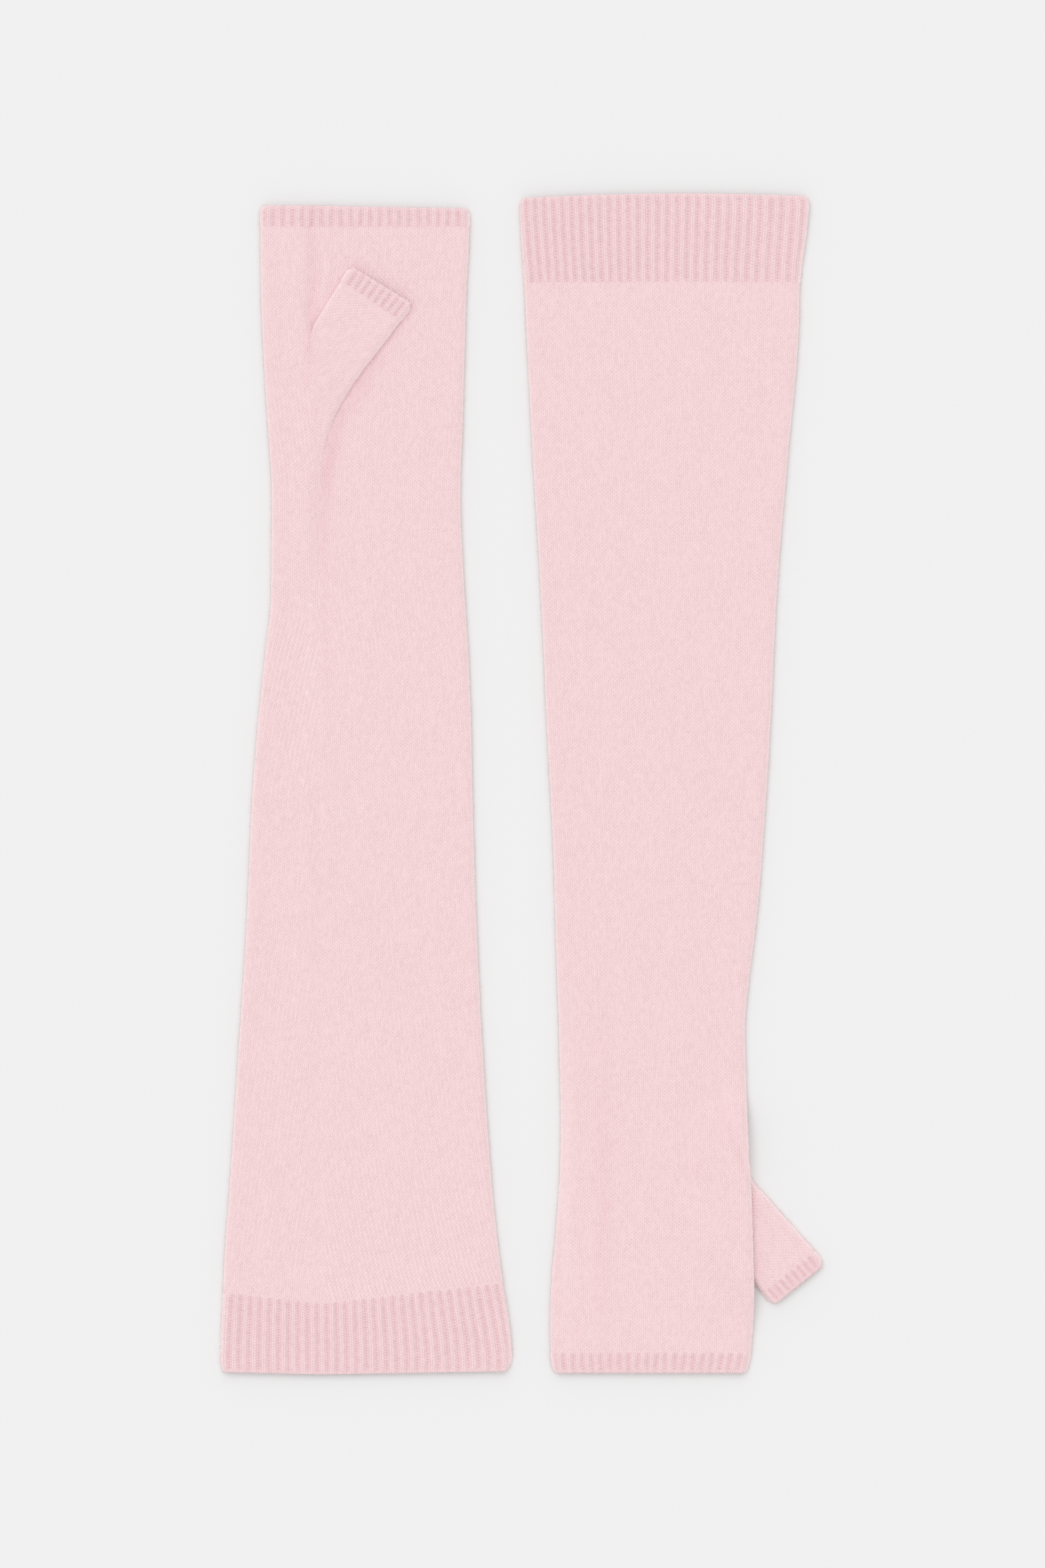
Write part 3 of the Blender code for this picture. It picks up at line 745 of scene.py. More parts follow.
def knit_face(cloth, surface, rows, panels, stitch, per_wale):
    """The fine grid of one or more panels from left to right, which share a point where they
    meet."""
    every = np.arange(len(rows.along))
    grids = []
    for panel in panels:
        start, end, wale, held, spread = held_columns(panel, rows.along, per_wale)
        number = np.arange(len(wale))[None, :]
        made = (number >= start[:, None] + bool(grids)) & (number <= end[:, None])
        row, _ = np.nonzero(made)
        u, across = held[made], spread[made]
        apart = np.minimum(across - panel.low[row], panel.high[row] - across)
        soft = smooth(apart / (FADE_WALES * WALE))
        height, lean = stitch(u, rows.course[row])
        true_course = rows.course[row] + lean * soft * rows.lean[row]
        along = np.interp(true_course, rows.course, rows.along)
        points, facing = surface.place(along, across)
        points = points + facing * (height * soft * rows.rise[row] - rows.drop[row])[:, None]
        points[:, 2] = np.maximum(points[:, 2], 0)
        ids = np.full(made.shape, -1)
        ribbed = rows.rise[row] * (stitch is rib_stitch)
        tone = surface.tone(points[:, 0], points[:, 1])
        # Painted light on the folds, by how far the cloth faces sideways
        tone = tone + FOLD_PAINTED_LIGHT * (1 - np.abs(facing[:, 2]))
        turn = surface.turn(along, across)
        ids[made] = cloth.add_points(points, turn, along, ribbed=ribbed, tone=tone)
        if grids:
            ids[every, start] = grids[-1][0][every, -1]
        stitches = np.stack([held, np.broadcast_to(rows.course[:, None], held.shape)], -1)
        stitches[made] = np.column_stack([u, true_course])
        take = np.clip(number, start[:, None], end[:, None])
        ids = np.take_along_axis(ids, take, 1)
        stitches = np.take_along_axis(stitches, take[..., None], 1)
        swap = triangle_wave(wale[:-1]) < triangle_wave(wale[1:])
        cloth.add_grid(ids, stitches, every, OUTSIDE, swap=swap)
        grids.append((ids, stitches))
    ids, stitches = (np.concatenate(part, 1) for part in zip(*grids))
    return ids, stitches


# %% The lower face and the inside
UNDER_COLUMNS = 24
INNER_COLUMNS = 16
INNER_STEP = 16
UNDER_STEP = 8


def under_face(cloth, surface, rows, chosen, top, top_maps, is_rib):
    """The sheet beneath, at the chosen rows, joined to both sides of the upper face's grid."""
    along = rows.along[chosen]
    start, end = surface.under_span(along)
    share = np.linspace(0, 1, UNDER_COLUMNS + 1)[1:-1]
    spread = start[:, None] + share * (end - start)[:, None]
    grid = np.broadcast_to(along[:, None], spread.shape)
    points, facing = surface.place(grid, spread, beneath=True)
    points = points - facing * rows.drop[chosen][:, None, None]
    # Painted light on the folds beneath, by how far the cloth faces sideways
    tone = FOLD_PAINTED_LIGHT * (1 - np.abs(facing[..., 2]))
    turn = surface.turn(grid, spread, beneath=True)
    ribbed = is_rib * rows.rise[chosen][:, None]
    ids = cloth.add_points(points, turn, grid, ribbed=ribbed, tone=tone)
    course = np.broadcast_to(rows.course[chosen][:, None], spread.shape)
    maps = []
    for side, edge in ((top_maps[chosen, 0], start), (top_maps[chosen, -1], end)):
        maps.append(np.stack([side[:, :1] - (spread - edge[:, None]) / WALE, course], -1))
    half = ids.shape[1] // 2
    cloth.add_grid(ids[:, : half + 1], maps[0][:, : half + 1], chosen, OUTSIDE, flip=True)
    cloth.add_grid(ids[:, half:], maps[1][:, half:], chosen, OUTSIDE, flip=True)
    every = np.arange(len(rows.along))
    for column, flip in ((0, False), (-1, True)):
        fine = (top[:, column], every, top_maps[:, column])
        coarse = (ids[:, column], chosen, maps[column][:, column])
        cloth.add_zip(fine, coarse, None, OUTSIDE, flip=flip)
    return ids, maps[0]


def inner_face(cloth, surface, along, course, tags):
    """The plain inside: a ring of points at each place along, over the slit and back under it."""
    share = np.linspace(0, 1, INNER_COLUMNS + 1)
    grid = np.broadcast_to(along[:, None], (len(along), len(share)))
    over, spread = surface.inside(grid, share[None, :], True)
    under, _ = surface.inside(grid, share[None, :], False)
    points = np.concatenate([over, under[:, -2:0:-1]], 1)
    turns = [surface.turn(grid, spread), surface.turn(grid, spread, beneath=True)[:, -2:0:-1]]
    turns = np.concatenate(turns, 1)
    spread = np.concatenate([spread, spread[:, -2:0:-1]], 1)
    ids = cloth.add_points(points, turns, along[:, None], inner=True)
    maps = np.stack([spread / WALE, np.broadcast_to(course[:, None], spread.shape)], -1)
    ring_ids = np.concatenate([ids, ids[:, :1]], 1)
    ring_maps = np.concatenate([maps, maps[:, :1]], 1)
    cloth.add_grid(ring_ids, ring_maps, tags, INSIDE, flip=True)
    return ids, maps


# %% The ends of a tube
STEP_IN = 0.35


def outer_ring(table, top, top_maps, under, row, under_row):
    """One row all round the outside: its points, how far round they are, and their stitches."""
    ids, first = np.unique(top[row], return_index=True)
    first = np.sort(first)
    ids = np.concatenate([top[row][first], under[0][under_row][::-1]])
    maps = np.vstack([top_maps[row][first], under[1][under_row][::-1]])
    return ids, table[ids, TURN], maps


def inner_ring(table, inner, row):
    """The same for the inside, turned so that it starts where the outside does."""
    ids, maps = inner[0][row], inner[1][row]
    places = table[ids, TURN] % 1
    order = np.roll(np.arange(len(ids)), -int(np.argmin(places)))
    return ids[order], places[order], maps[order]


def closed_line(ring):
    ids, places, maps = ring
    return np.append(ids, ids[0]), np.append(places, places[0] + 1), np.vstack([maps, maps[:1]])


def close_end(cloth, outside, inside, tag, layer, flip):
    """Closes an end. A hidden one first steps straight in, so that it stays under the stitches."""
    if layer == END:
        table = np.concatenate(cloth.points)
        ids, places, maps = outside
        below = [np.interp(places, inside[1], table[inside[0], i], period=1) for i in range(3)]
        points = table[ids, :3] + STEP_IN * (np.stack(below, -1) - table[ids, :3])
        stepped = (cloth.add_points(points, places, table[ids, ALONG]), places, maps)
        cloth.add_zip(closed_line(outside), closed_line(stepped), tag, layer, flip=flip)
        outside = stepped
    cloth.add_zip(closed_line(outside), closed_line(inside), tag, layer, flip=flip)


def knit_tube(surface, rows, panels, stitch, per_wale, inner_rows, cut=None, rims=(), shut=False):
    """A whole tube. inner_rows are the fine rows that the inside has points at. A cut shares it
    between two pieces, rims are the ends that stay in sight, and shut closes its first end."""
    cloth = Cloth()
    last = len(rows.along) - 1
    flat = np.flatnonzero(rows.drop == 0)
    chosen = set(range(0, last, UNDER_STEP)) | set(np.flatnonzero(rows.drop > 0))
    chosen |= {0, last, flat[0], flat[-1]} | ({cut} if cut else set())
    chosen = np.array(sorted(chosen))
    top, top_maps = knit_face(cloth, surface, rows, panels, stitch, per_wale)
    under = under_face(cloth, surface, rows, chosen, top, top_maps, stitch is rib_stitch)
    inner_along = np.clip(rows.along[inner_rows], rows.along[flat[0]], rows.along[flat[-1]])
    inner = inner_face(cloth, surface, inner_along, rows.course[inner_rows], inner_rows)
    table = np.concatenate(cloth.points)
    ends = [(0, inner_rows[0], 0, True), (last, last, last - 1, False)]
    if cut:
        ends += [(cut, cut, cut - 1, False), (cut, cut, cut, True)]
    for row, inner_row, tag, flip in ends:
        outside = outer_ring(table, top, top_maps, under, row, list(chosen).index(row))
        inside = inner_ring(table, inner, list(inner_rows).index(inner_row))
        if shut and row == 0:
            cloth.add_fan(outside, tag, END, flip=flip)
            cloth.add_fan(inside, tag, END, flip=not flip)
            continue
        close_end(cloth, outside, inside, tag, OUTSIDE if row in rims else END, flip)
    return cloth.gathered()


# %% [markdown]
# # From points to an object
#
# The points are turned and moved to the glove's place only now. Smooth shading needs a direction
# for each point, worked out on the whole tube before it is shared out, so that no line shows where
# two of its pieces meet.

# %% The gloves' places
LEFT_MIDDLE = (-65.35, -245.9)
RIGHT_MIDDLE = (59.1, 245.1)


def packed_shift():
    """How far the pair was moved when its common box was centred, read from the frame."""
    lowest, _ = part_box("left_arm_rib")
    return lowest[0] / MM - LEFT_MIDDLE[0] - min(row.left for row in LEFT_ROWS)


def to_world(points, side):
    middle = LEFT_MIDDLE if side == "left" else RIGHT_MIDDLE
    sign = 1.0 if side == "left" else -1.0
    turned = points * np.array([sign, sign, 1.0])
    return (turned + np.array([middle[0] + SHIFT, middle[1], 0.0])) * MM


SHIFT = packed_shift()

# %% Making the objects
# Painted light on cloth that faces sideways: where it starts, and how strong it is
SIDEWAYS_LIGHT_FROM = 0.2
SIDEWAYS_PAINTED_LIGHT = 1.2

# The strips of the baking map, as shares of its height, and how far round it goes
INSIDE_FROM, INSIDE_HEIGHT = 0.002, 0.030
OUTER_END, INNER_END, RIM_BELOW, RIM_ABOVE = 0.037, 0.046, 0.05, 0.995
OUTSIDE_FROM, OUTSIDE_HEIGHT = 0.06, 0.93
ROUND = 1.02


def add_object(name, data):
    made = bpy.data.objects.new(name, data)
    bpy.context.scene.collection.objects.link(made)
    return made


def point_directions(points, faces):
    """Which way the cloth faces at each point: the mean of its triangles, by their size."""
    corners = points[faces]
    across = np.cross(corners[:, 1] - corners[:, 0], corners[:, 2] - corners[:, 0])
    total = np.zeros_like(points)
    for corner in range(3):
        for axis in range(3):
            total[:, axis] += np.bincount(faces[:, corner], across[:, axis], len(points))
    size = np.linalg.norm(total, axis=1, keepdims=True)
    return total / np.where(size > 0, size, 1)


def baking_map(table, faces, layer):
    """A flat map of the whole piece: round the tube across it, and along the tube up it."""
    turn, along, inner = table[faces, TURN], table[faces, ALONG], table[faces, INNER] > 0
    turn = np.where(inner, turn % 1, turn)
    wraps = (turn.max(1) - turn.min(1) > 0.5)[:, None] & (turn < 0.5)
    turn = (turn + wraps) / ROUND
    share = (along - table[:, ALONG].min()) / np.ptp(table[:, ALONG])
    rim = np.where(share < 0.5, RIM_BELOW, RIM_ABOVE)
    up = np.where(inner, rim, OUTSIDE_FROM + share * OUTSIDE_HEIGHT)
    up = np.where((layer == INSIDE)[:, None], INSIDE_FROM + share * INSIDE_HEIGHT, up)
    up = np.where((layer == END)[:, None], np.where(inner, INNER_END, OUTER_END), up)
    return np.stack([turn, up], -1)


def make_piece(name, made, side, node, first_row=0, last_row=math.inf):
    """One object from the faces between two rows of a knitted tube."""
    table, faces, stitches, row, layer = made
    points = to_world(table[:, :3], side)
    directions = point_directions(points, faces[layer != END])
    kept = (row >= first_row) & (row < last_row)
    faces, stitches, layer = faces[kept], stitches[kept], layer[kept]
    used, index = np.unique(faces, return_inverse=True)
    baking = baking_map(table[used], index.reshape(-1, 3), layer)
    mesh = bpy.data.meshes.new(name)
    mesh.vertices.add(len(used))
    mesh.vertices.foreach_set("co", points[used].astype(np.float32).ravel())
    mesh.loops.add(faces.size)
    mesh.loops.foreach_set("vertex_index", index.ravel().astype(np.int32))
    mesh.polygons.add(len(faces))
    mesh.polygons.foreach_set("loop_start", np.arange(0, faces.size, 3, dtype=np.int32))
    mesh.update(calc_edges=True)
    for layer_name, values in (("knit", stitches), ("OFBake", baking)):
        flat_map = mesh.uv_layers.new(name=layer_name)
        flat_map.uv.foreach_set("vector", values.astype(np.float32).ravel())
    # Painted light on every side that faces away from straight up
    sideways_light = SIDEWAYS_PAINTED_LIGHT * np.maximum(1 - SIDEWAYS_LIGHT_FROM - np.abs(directions[used, 2]), 0)
    tone = table[used, PAINTED_LIGHT_AND_MARKS_COLUMN] + sideways_light
    for value_name, values in (("ribbed", table[used, RIBBED]), ("tone", tone)):
        attribute = mesh.attributes.new(value_name, "FLOAT", "POINT")
        attribute.data.foreach_set("value", values.astype(np.float32))
    mesh.polygons.foreach_set("use_smooth", np.ones(len(faces), bool))
    mesh.normals_split_custom_set_from_vertices(directions[used])
    mesh.materials.append(wool)
    piece = add_object(name, mesh)
    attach(piece, "root")
    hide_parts(node)
    print(name, len(faces), "triangles")
    return piece


# %% [markdown]
# # The yarn
#
# Both kinds of knitting are one yarn, so they share a node group. It reads how many wales and
# courses it has counted, and works out where each leg of a stitch is high and where two of them
# leave a gap. The gaps get painted shade: they are darker and deeper in colour, as if lit only by
# light already coloured by the wool around them. The value kept at each point works at a larger
# scale: painted shade in creases, along the seam and beside the left thumb's fold, painted light
# on the sides of the folds and on a few strips, and the pale marks that the cloth really has.

# %% Writing nodes
class Sums:
    """A short way to write nodes and the arithmetic between them."""

    def __init__(self, tree):
        self.tree = tree

    def feed(self, socket, value):
        """Gives a socket a value, or links another node's output to it."""
        if isinstance(value, bpy.types.NodeSocket):
            self.tree.links.new(value, socket)
        else:
            socket.default_value = value

    def node(self, kind, inputs=None, **settings):
        node = self.tree.nodes.new(kind)
        for name, value in settings.items():
            setattr(node, name, value)
        for name, value in (inputs or {}).items():
            self.feed(node.inputs[name], value)
        return node

    def math(self, operation, *values):
        return self.node("ShaderNodeMath", dict(enumerate(values)), operation=operation).outputs[0]

    def add(self, first, second):
        return self.math("ADD", first, second)

    def minus(self, first, second):
        return self.math("SUBTRACT", first, second)

    def times(self, first, second, plus=0.0):
        return self.math("MULTIPLY_ADD", first, second, plus)

    def wave(self, turns, centre=0.5, swing=0.5):
        """centre + swing * cos(2 pi turns)"""
        return self.times(self.math("COSINE", self.times(turns, 2 * math.pi)), swing, centre)

    def parts(self, vector):
        return self.node("ShaderNodeSeparateXYZ", {0: vector}).outputs

    def joined(self, *values):
        return self.node("ShaderNodeCombineXYZ", dict(enumerate(values))).outputs[0]

    def noise(self, size, detail):
        """Soft noise through the space that the object is in."""
        place = self.node("ShaderNodeTexCoord").outputs["Object"]
        inputs = {"Vector": place, "Scale": size, "Detail": detail}
        return self.node("ShaderNodeTexNoise", inputs).outputs

    def kept(self, name):
        """A value that the mesh keeps at each point."""
        return self.node("ShaderNodeAttribute", attribute_name=name).outputs["Fac"]


# %% The stitch pattern as a node group
# Each noise is its size and its detail
WANDER_NOISE = (260.0, 1.0)
WANDER = 0.3
CHANCE = 0.3
CREST = 0.3
PURL_MIDDLE = 0.3
PURL_SWING = -0.35
# Painted shade in the sunk purl wales, and how much crisper the rib's painted shade is
PURL_SHADE = 0.3
RIB_CRISP = 0.6


def stitch_group():
    """Each stitch's fine height, its painted shade and how much of it is purl, from the count."""
    tree = bpy.data.node_groups.new("knitted_stitches", "ShaderNodeTree")
    for name in ("Height", "Shade", "Purl"):
        tree.interface.new_socket(name, in_out="OUTPUT", socket_type="NodeSocketFloat")
    sums = Sums(tree)
    counted = sums.parts(sums.node("ShaderNodeUVMap", uv_map="knit").outputs["UV"])
    shift = sums.parts(sums.noise(*WANDER_NOISE)["Color"])
    wale, course = (
        sums.add(counted[i], sums.times(shift[i], WANDER, -WANDER / 2)) for i in range(2)
    )
    away = sums.math("ABSOLUTE", sums.times(sums.math("FRACT", wale), 2.0, -1.0))
    middle = sums.minus(1.0, away)
    # Raised and sunk wales take turns here as in rib_stitch
    raised = sums.math("POWER", sums.wave(sums.times(wale, 0.5, -0.75)), KNIT_SHARE)
    ribbed = sums.kept("ribbed")
    purl = sums.times(sums.minus(1.0, raised), ribbed)
    knit = sums.minus(1.0, purl)
    phase = sums.minus(course, sums.times(sums.minus(middle, 0.5), sums.times(knit, SLANT)))
    leg = sums.math("FLOOR", sums.times(wale, 2.0))
    stitch = sums.joined(leg, sums.math("FLOOR", sums.add(phase, 0.5)))
    chance = sums.node("ShaderNodeTexWhiteNoise", noise_dimensions="2D")
    sums.feed(chance.inputs["Vector"], stitch)
    legs = sums.wave(sums.times(wale, 2.0), 0.5, -0.5)
    crest = sums.wave(phase)
    knitted = sums.times(crest, CREST, sums.times(legs, sums.times(crest, CREST, CREST)))
    bump = sums.wave(phase, PURL_MIDDLE, PURL_SWING)
    height = sums.add(sums.times(knitted, knit), sums.times(bump, purl))
    # Painted shade: light on the crests, dark in the gaps and in the purl wales, crisper in the
    # rib
    shade = sums.times(sums.minus(height, 0.5), sums.times(ribbed, RIB_CRISP, 1.0))
    shade = sums.minus(sums.add(shade, 0.5), sums.times(purl, PURL_SHADE))
    shade = sums.add(shade, sums.times(chance.outputs["Value"], CHANCE, -CHANCE / 2))
    sums.node("NodeGroupOutput", {"Height": height, "Shade": shade, "Purl": purl})
    return tree


# %% The wool
# The stitches' painted shade runs from the gaps' dark colour to the crests', the yarn's own
GAP_PAINTED_SHADE = (0.725, 0.503, 0.523, 1.0)
CREST_COLOUR = (0.872, 0.656, 0.671, 1.0)
CREST_SHADE = 0.8
# A paler pink for painted light, and a deeper tint for painted shade, stronger in purl wales
PAINTED_LIGHT_COLOUR = (0.98, 0.82, 0.83, 1.0)
PAINTED_SHADE_TINT = (0.95, 0.865, 0.885, 1.0)
PURL_PAINTED_SHADE = 0.45
FIBRE_NOISE = (1900.0, 2.0)
FIBRE_SHADE, FIBRE_SHADE_FROM = 0.6, -0.1
FIBRE_HEIGHT = 0.35
MOTTLE_NOISE = (60.0, 3.0)
MOTTLE = 0.08
BUMP_STRENGTH = 0.6
BUMP_DISTANCE = 0.00025
YARN_ROUGHNESS = 0.9
WOOL = {
    "Roughness": YARN_ROUGHNESS,
    "Sheen Weight": 0.3,
    "Sheen Roughness": 0.5,
    "Sheen Tint": (1.0, 0.93, 0.93, 1.0),
    "Specular IOR Level": 0.2,
}


def new_material(name, values):
    """A material whose main shader has the given values, and that shader."""
    material = bpy.data.materials.new(name)
    material.use_nodes = True
    shader = material.node_tree.nodes["Principled BSDF"]
    for socket, value in values.items():
        shader.inputs[socket].default_value = value
    return material, shader


def knit_material(name, group):
    """The wool: the stitches' colour with painted shade and painted light, their fine height, and
    fibres.
    """
    material, shader = new_material(name, WOOL)
    sums = Sums(material.node_tree)
    stitches = sums.node("ShaderNodeGroup", node_tree=group).outputs
    fibres = sums.noise(*FIBRE_NOISE)["Fac"]
    mottle = sums.noise(*MOTTLE_NOISE)["Fac"]
    shade = sums.add(sums.times(fibres, FIBRE_SHADE, FIBRE_SHADE_FROM), stitches["Shade"])
    shade = sums.add(shade, sums.times(mottle, MOTTLE, -MOTTLE / 2))
    ramp = sums.node("ShaderNodeValToRGB", {0: shade})
    gap, crest = ramp.color_ramp.elements
    gap.position, gap.color = 0.0, GAP_PAINTED_SHADE
    crest.position, crest.color = CREST_SHADE, CREST_COLOUR
    colour = ramp.outputs["Color"]
    # Painted shade multiplies the colour by the deeper tint in purl wales and where the kept value
    # is below 0. Painted light, with the real pale marks, mixes it towards the paler pink where it
    # is above 0
    tone = sums.kept("tone")
    painted_shade = sums.minus(sums.times(stitches["Purl"], PURL_PAINTED_SHADE), tone)
    # A mix node has sockets for each kind of value: 6, 7 and output 2 are the colours'
    for share, blend, tint in ((painted_shade, "MULTIPLY", PAINTED_SHADE_TINT), (tone, "MIX", PAINTED_LIGHT_COLOUR)):
        inputs = {0: share, 6: colour, 7: tint}
        mix = sums.node("ShaderNodeMix", inputs, data_type="RGBA", blend_type=blend)
        colour = mix.outputs[2]
    sums.feed(shader.inputs["Base Color"], colour)
    height = sums.times(fibres, FIBRE_HEIGHT, stitches["Height"])
    inputs = {"Strength": BUMP_STRENGTH, "Distance": BUMP_DISTANCE, "Height": height}
    bump = sums.node("ShaderNodeBump", inputs)
    sums.feed(shader.inputs["Normal"], bump.outputs["Normal"])
    return material


wool = knit_material("pink_wool", stitch_group())

# %% [markdown]
# # The long tubes
#
# Each arm tube is one panel, and its wales run beside the panel's middle line at the back of the
# glove. On the left glove, which shows its palm, they come round each fold and end at the seam,
# which is how the glove gets narrower. The right glove shows the middle line itself.

# %% The wales' directions
LEFT_PANEL_MIDDLE = 19.7
Middle = namedtuple("Middle", "along x wale")
RIGHT_MIDDLES = (
    Middle(0.0, 4.2, 1.82),
    Middle(36.7, 3.2, 1.80),
    Middle(79.0, 1.9, 1.78),
    Middle(135.0, 0.0, 1.76),
    Middle(190.0, -2.5, 1.74),
    Middle(302.0, -8.3, 1.72),
    Middle(357.0, -11.0, 1.74),
    Middle(385.0, -11.8, 1.76),
    Middle(413.0, -11.6, 1.78),
    Middle(441.0, -11.4, 1.80),
    Middle(490.0, -10.9, 1.80),
)


def left_panels(glove, along):
    """Two panels that meet at the seam. Each one's wales run beside the panel's middle line on
    the hidden side, which is mirrored in the fold that they come round."""
    low, high = glove.top_span(along)
    turn = read(glove.curves["turn"], along)

    def beside(edge):
        return lambda along, wale: 2 * glove.edges(along)[edge] - LEFT_PANEL_MIDDLE + wale * WALE

    return [Panel(beside(0), low, turn), Panel(beside(1), turn, high)]


def right_panels(glove, along):
    """One panel with its wales beside its middle line, a little wider or narrower as they go."""
    curves = table_curves(RIGHT_MIDDLES)
    low, high = glove.top_span(along)

    def beside_middle(along, wale):
        return read(curves["x"], along) + wale * read(curves["wale"], along)

    return [Panel(beside_middle, low, high)]


# %% Both arm tubes
COURSE = 1.472
COLUMNS_PER_WALE = 4
ROWS_PER_COURSE = 2
CUT_SHARE = 0.46
SHORTEST_SHEET = 10.0
sheets = []


def keep_sheet(piece, widths, length):
    """Keeps a tube's flat size: all the way round it by its length, and its true area."""
    around, true_length = 2 * float(np.max(widths)) * MM, length * MM
    area = 2 * float(np.mean(widths)) * MM * true_length
    sheets.append((piece, (around, max(true_length, SHORTEST_SHEET * MM)), area))


def tube_rows(start, end):
    """Rows of a plain tube, whose stitches lie calm where it meets a rib."""
    courses = round((end - start) / COURSE)
    course = np.arange(courses * ROWS_PER_COURSE + 1) / ROWS_PER_COURSE
    along = start + (end - start) * course / courses
    calm = smooth(np.minimum(course, courses - course))
    return Rows(along, course, np.zeros(len(along)), calm, calm)


def arm_tube(side, glove, make_panels, start, end):
    """A glove's long plain tube, as two objects that meet on one course."""
    rows = tube_rows(start, end)
    last = len(rows.along) - 1
    cut = INNER_STEP * round(CUT_SHARE * last / INNER_STEP)
    inner_rows = np.unique(np.append(np.arange(0, last, INNER_STEP), last))
    panels = make_panels(glove, rows.along)
    made = knit_tube(glove, rows, panels, plain_stitch, COLUMNS_PER_WALE, inner_rows, cut=cut)
    parts = ((f"{side}_forearm", 0, cut), (f"{side}_hand", cut, last))
    for part, first, end in parts:
        piece = make_piece(part, made, side, f"{side}_arm_tube", first, end)
        left, right = glove.edges(rows.along[first:end])
        keep_sheet(piece, right - left, rows.along[end] - rows.along[first])


left_glove = Glove(LEFT_ROWS, LEFT_CREASES, LEFT_PAINTED_LIGHT_AND_MARKS, has_seam=True)
thumb_outline = [(s.left_x, s.left_y) for s in RIGHT_THUMB]
thumb_outline += [(s.right_x, s.right_y) for s in RIGHT_THUMB[::-1]]
right_glove = Glove(RIGHT_ROWS, RIGHT_CREASES, RIGHT_PAINTED_LIGHT, has_seam=False, beneath=thumb_outline)
arm_tube("left", left_glove, left_panels, LEFT_ARM_RIB_ENDS, LEFT_HAND_RIB_STARTS)
arm_tube("right", right_glove, right_panels, RIGHT_ARM_RIB_ENDS, RIGHT_HAND_RIB_STARTS)

# %% [markdown]
# # The ribs
#
# A rib is a band of raised and sunk wales that pulls the tube in. Its wales fan out a little
# towards the rim. The rim is where the knitting was cast on or off: the cloth's edge is rounded
# over, and the rib's grooves run out in it.

# %% A rib's rows and wales
LIP = 0.75
LIP_TURNS = (90.0, 62.0, 32.0)
LIP_COURSE = 0.2
TUCK = 0.35
TUCK_DROP = 0.08
RIM_RISE = 0.5
RIM_RISE_OVER = 2.2
RIB_COLUMNS_PER_WALE = 5

# name is the rib's own, first is where its first purl wale lies and step the distance to the
# next, as shares of the width. bulge moves the middle ones on, and slips moves them at the rim,
# in millimetres
RibPlan = namedtuple("RibPlan", "name courses first step bulge slips")
NO_SLIP = ((0.0, 0.0), (1.0, 0.0))


def rib_rows(rim, join, courses):
    """Rows from the rim's rounding up to the plain tube, which the last one is tucked under."""
    inward = 1.0 if join > rim else -1.0
    turns = np.radians(LIP_TURNS)
    course = np.arange(courses * ROWS_PER_COURSE + 1) / ROWS_PER_COURSE
    depth = LIP + (abs(join - rim) - LIP) * course / courses
    depth = np.concatenate([LIP * (1 - np.sin(turns)), depth, [abs(join - rim) + TUCK]])
    drop = np.concatenate([LIP * (1 - np.cos(turns)), np.zeros(len(course)), [TUCK_DROP]])
    before = -LIP_COURSE * np.arange(len(turns), 0, -1)
    course = np.concatenate([before, course, [courses + LIP_COURSE]])
    rise = RIM_RISE + (1 - RIM_RISE) * smooth(depth / RIM_RISE_OVER)
    rise = rise * smooth((abs(join - rim) - depth) / COURSE)
    lean = smooth(course) * smooth(courses - course)
    rows = Rows(rim + inward * depth, inward * course, drop, rise, lean)
    return rows if inward > 0 else Rows(*(column[::-1] for column in rows))


def rib_panels(surface, rows, plan, rim, join):
    """One panel whose wales keep their share of the width, and slip a little at the rim."""
    low, high = surface.top_span(rows.along)
    shares, slips = zip(*plan.slips)

    def fanning(along, wale):
        left, right = surface.edges(along)
        share = plan.first + (wale - 0.5) / 2 * plan.step
        share = share + plan.bulge * np.sin(math.pi * np.clip(share, 0, 1))
        slip = np.interp(share, shares, slips) * np.clip((along - join) / (rim - join), 0, 1)
        return left + share * (right - left) + slip

    return [Panel(fanning, low, high)]


def rib_band(surface, plan, rim, join):
    """A whole rib, from its rim to where it joins the plain tube."""
    rows = rib_rows(rim, join, plan.courses)
    last = len(rows.along) - 1
    inner_rows = np.array([0, last // 2, last])
    rims = (0 if join > rim else last,)
    panels = rib_panels(surface, rows, plan, rim, join)
    made = knit_tube(
        surface, rows, panels, rib_stitch, RIB_COLUMNS_PER_WALE, inner_rows, rims=rims
    )
    side = plan.name.split("_")[0]
    piece = make_piece(plan.name + "_knit", made, side, plan.name)
    left, right = surface.edges(rows.along)
    keep_sheet(piece, right - left, abs(rim - join))


# %% The gloves' four ribs
LEFT_SLIPS = ((0.0, -0.5), (0.25, 0.0), (0.5, -0.1), (0.97, 2.9))
RIGHT_SLIPS = ((0.0, 1.7), (0.5, 0.8), (1.0, 0.9))
LEFT_ARM_PLAN = RibPlan("left_arm_rib", 28, 0.0427, 0.0329, 0.0, LEFT_SLIPS)
RIGHT_ARM_PLAN = RibPlan("right_arm_rib", 29, 0.0155, 0.03357, 0.03, RIGHT_SLIPS)
LEFT_HAND_PLAN = RibPlan("left_hand_rib", 7, 0.03, 0.0452, 0.0, NO_SLIP)
RIGHT_HAND_PLAN = RibPlan("right_hand_rib", 7, 0.02, 0.0452, 0.0, NO_SLIP)

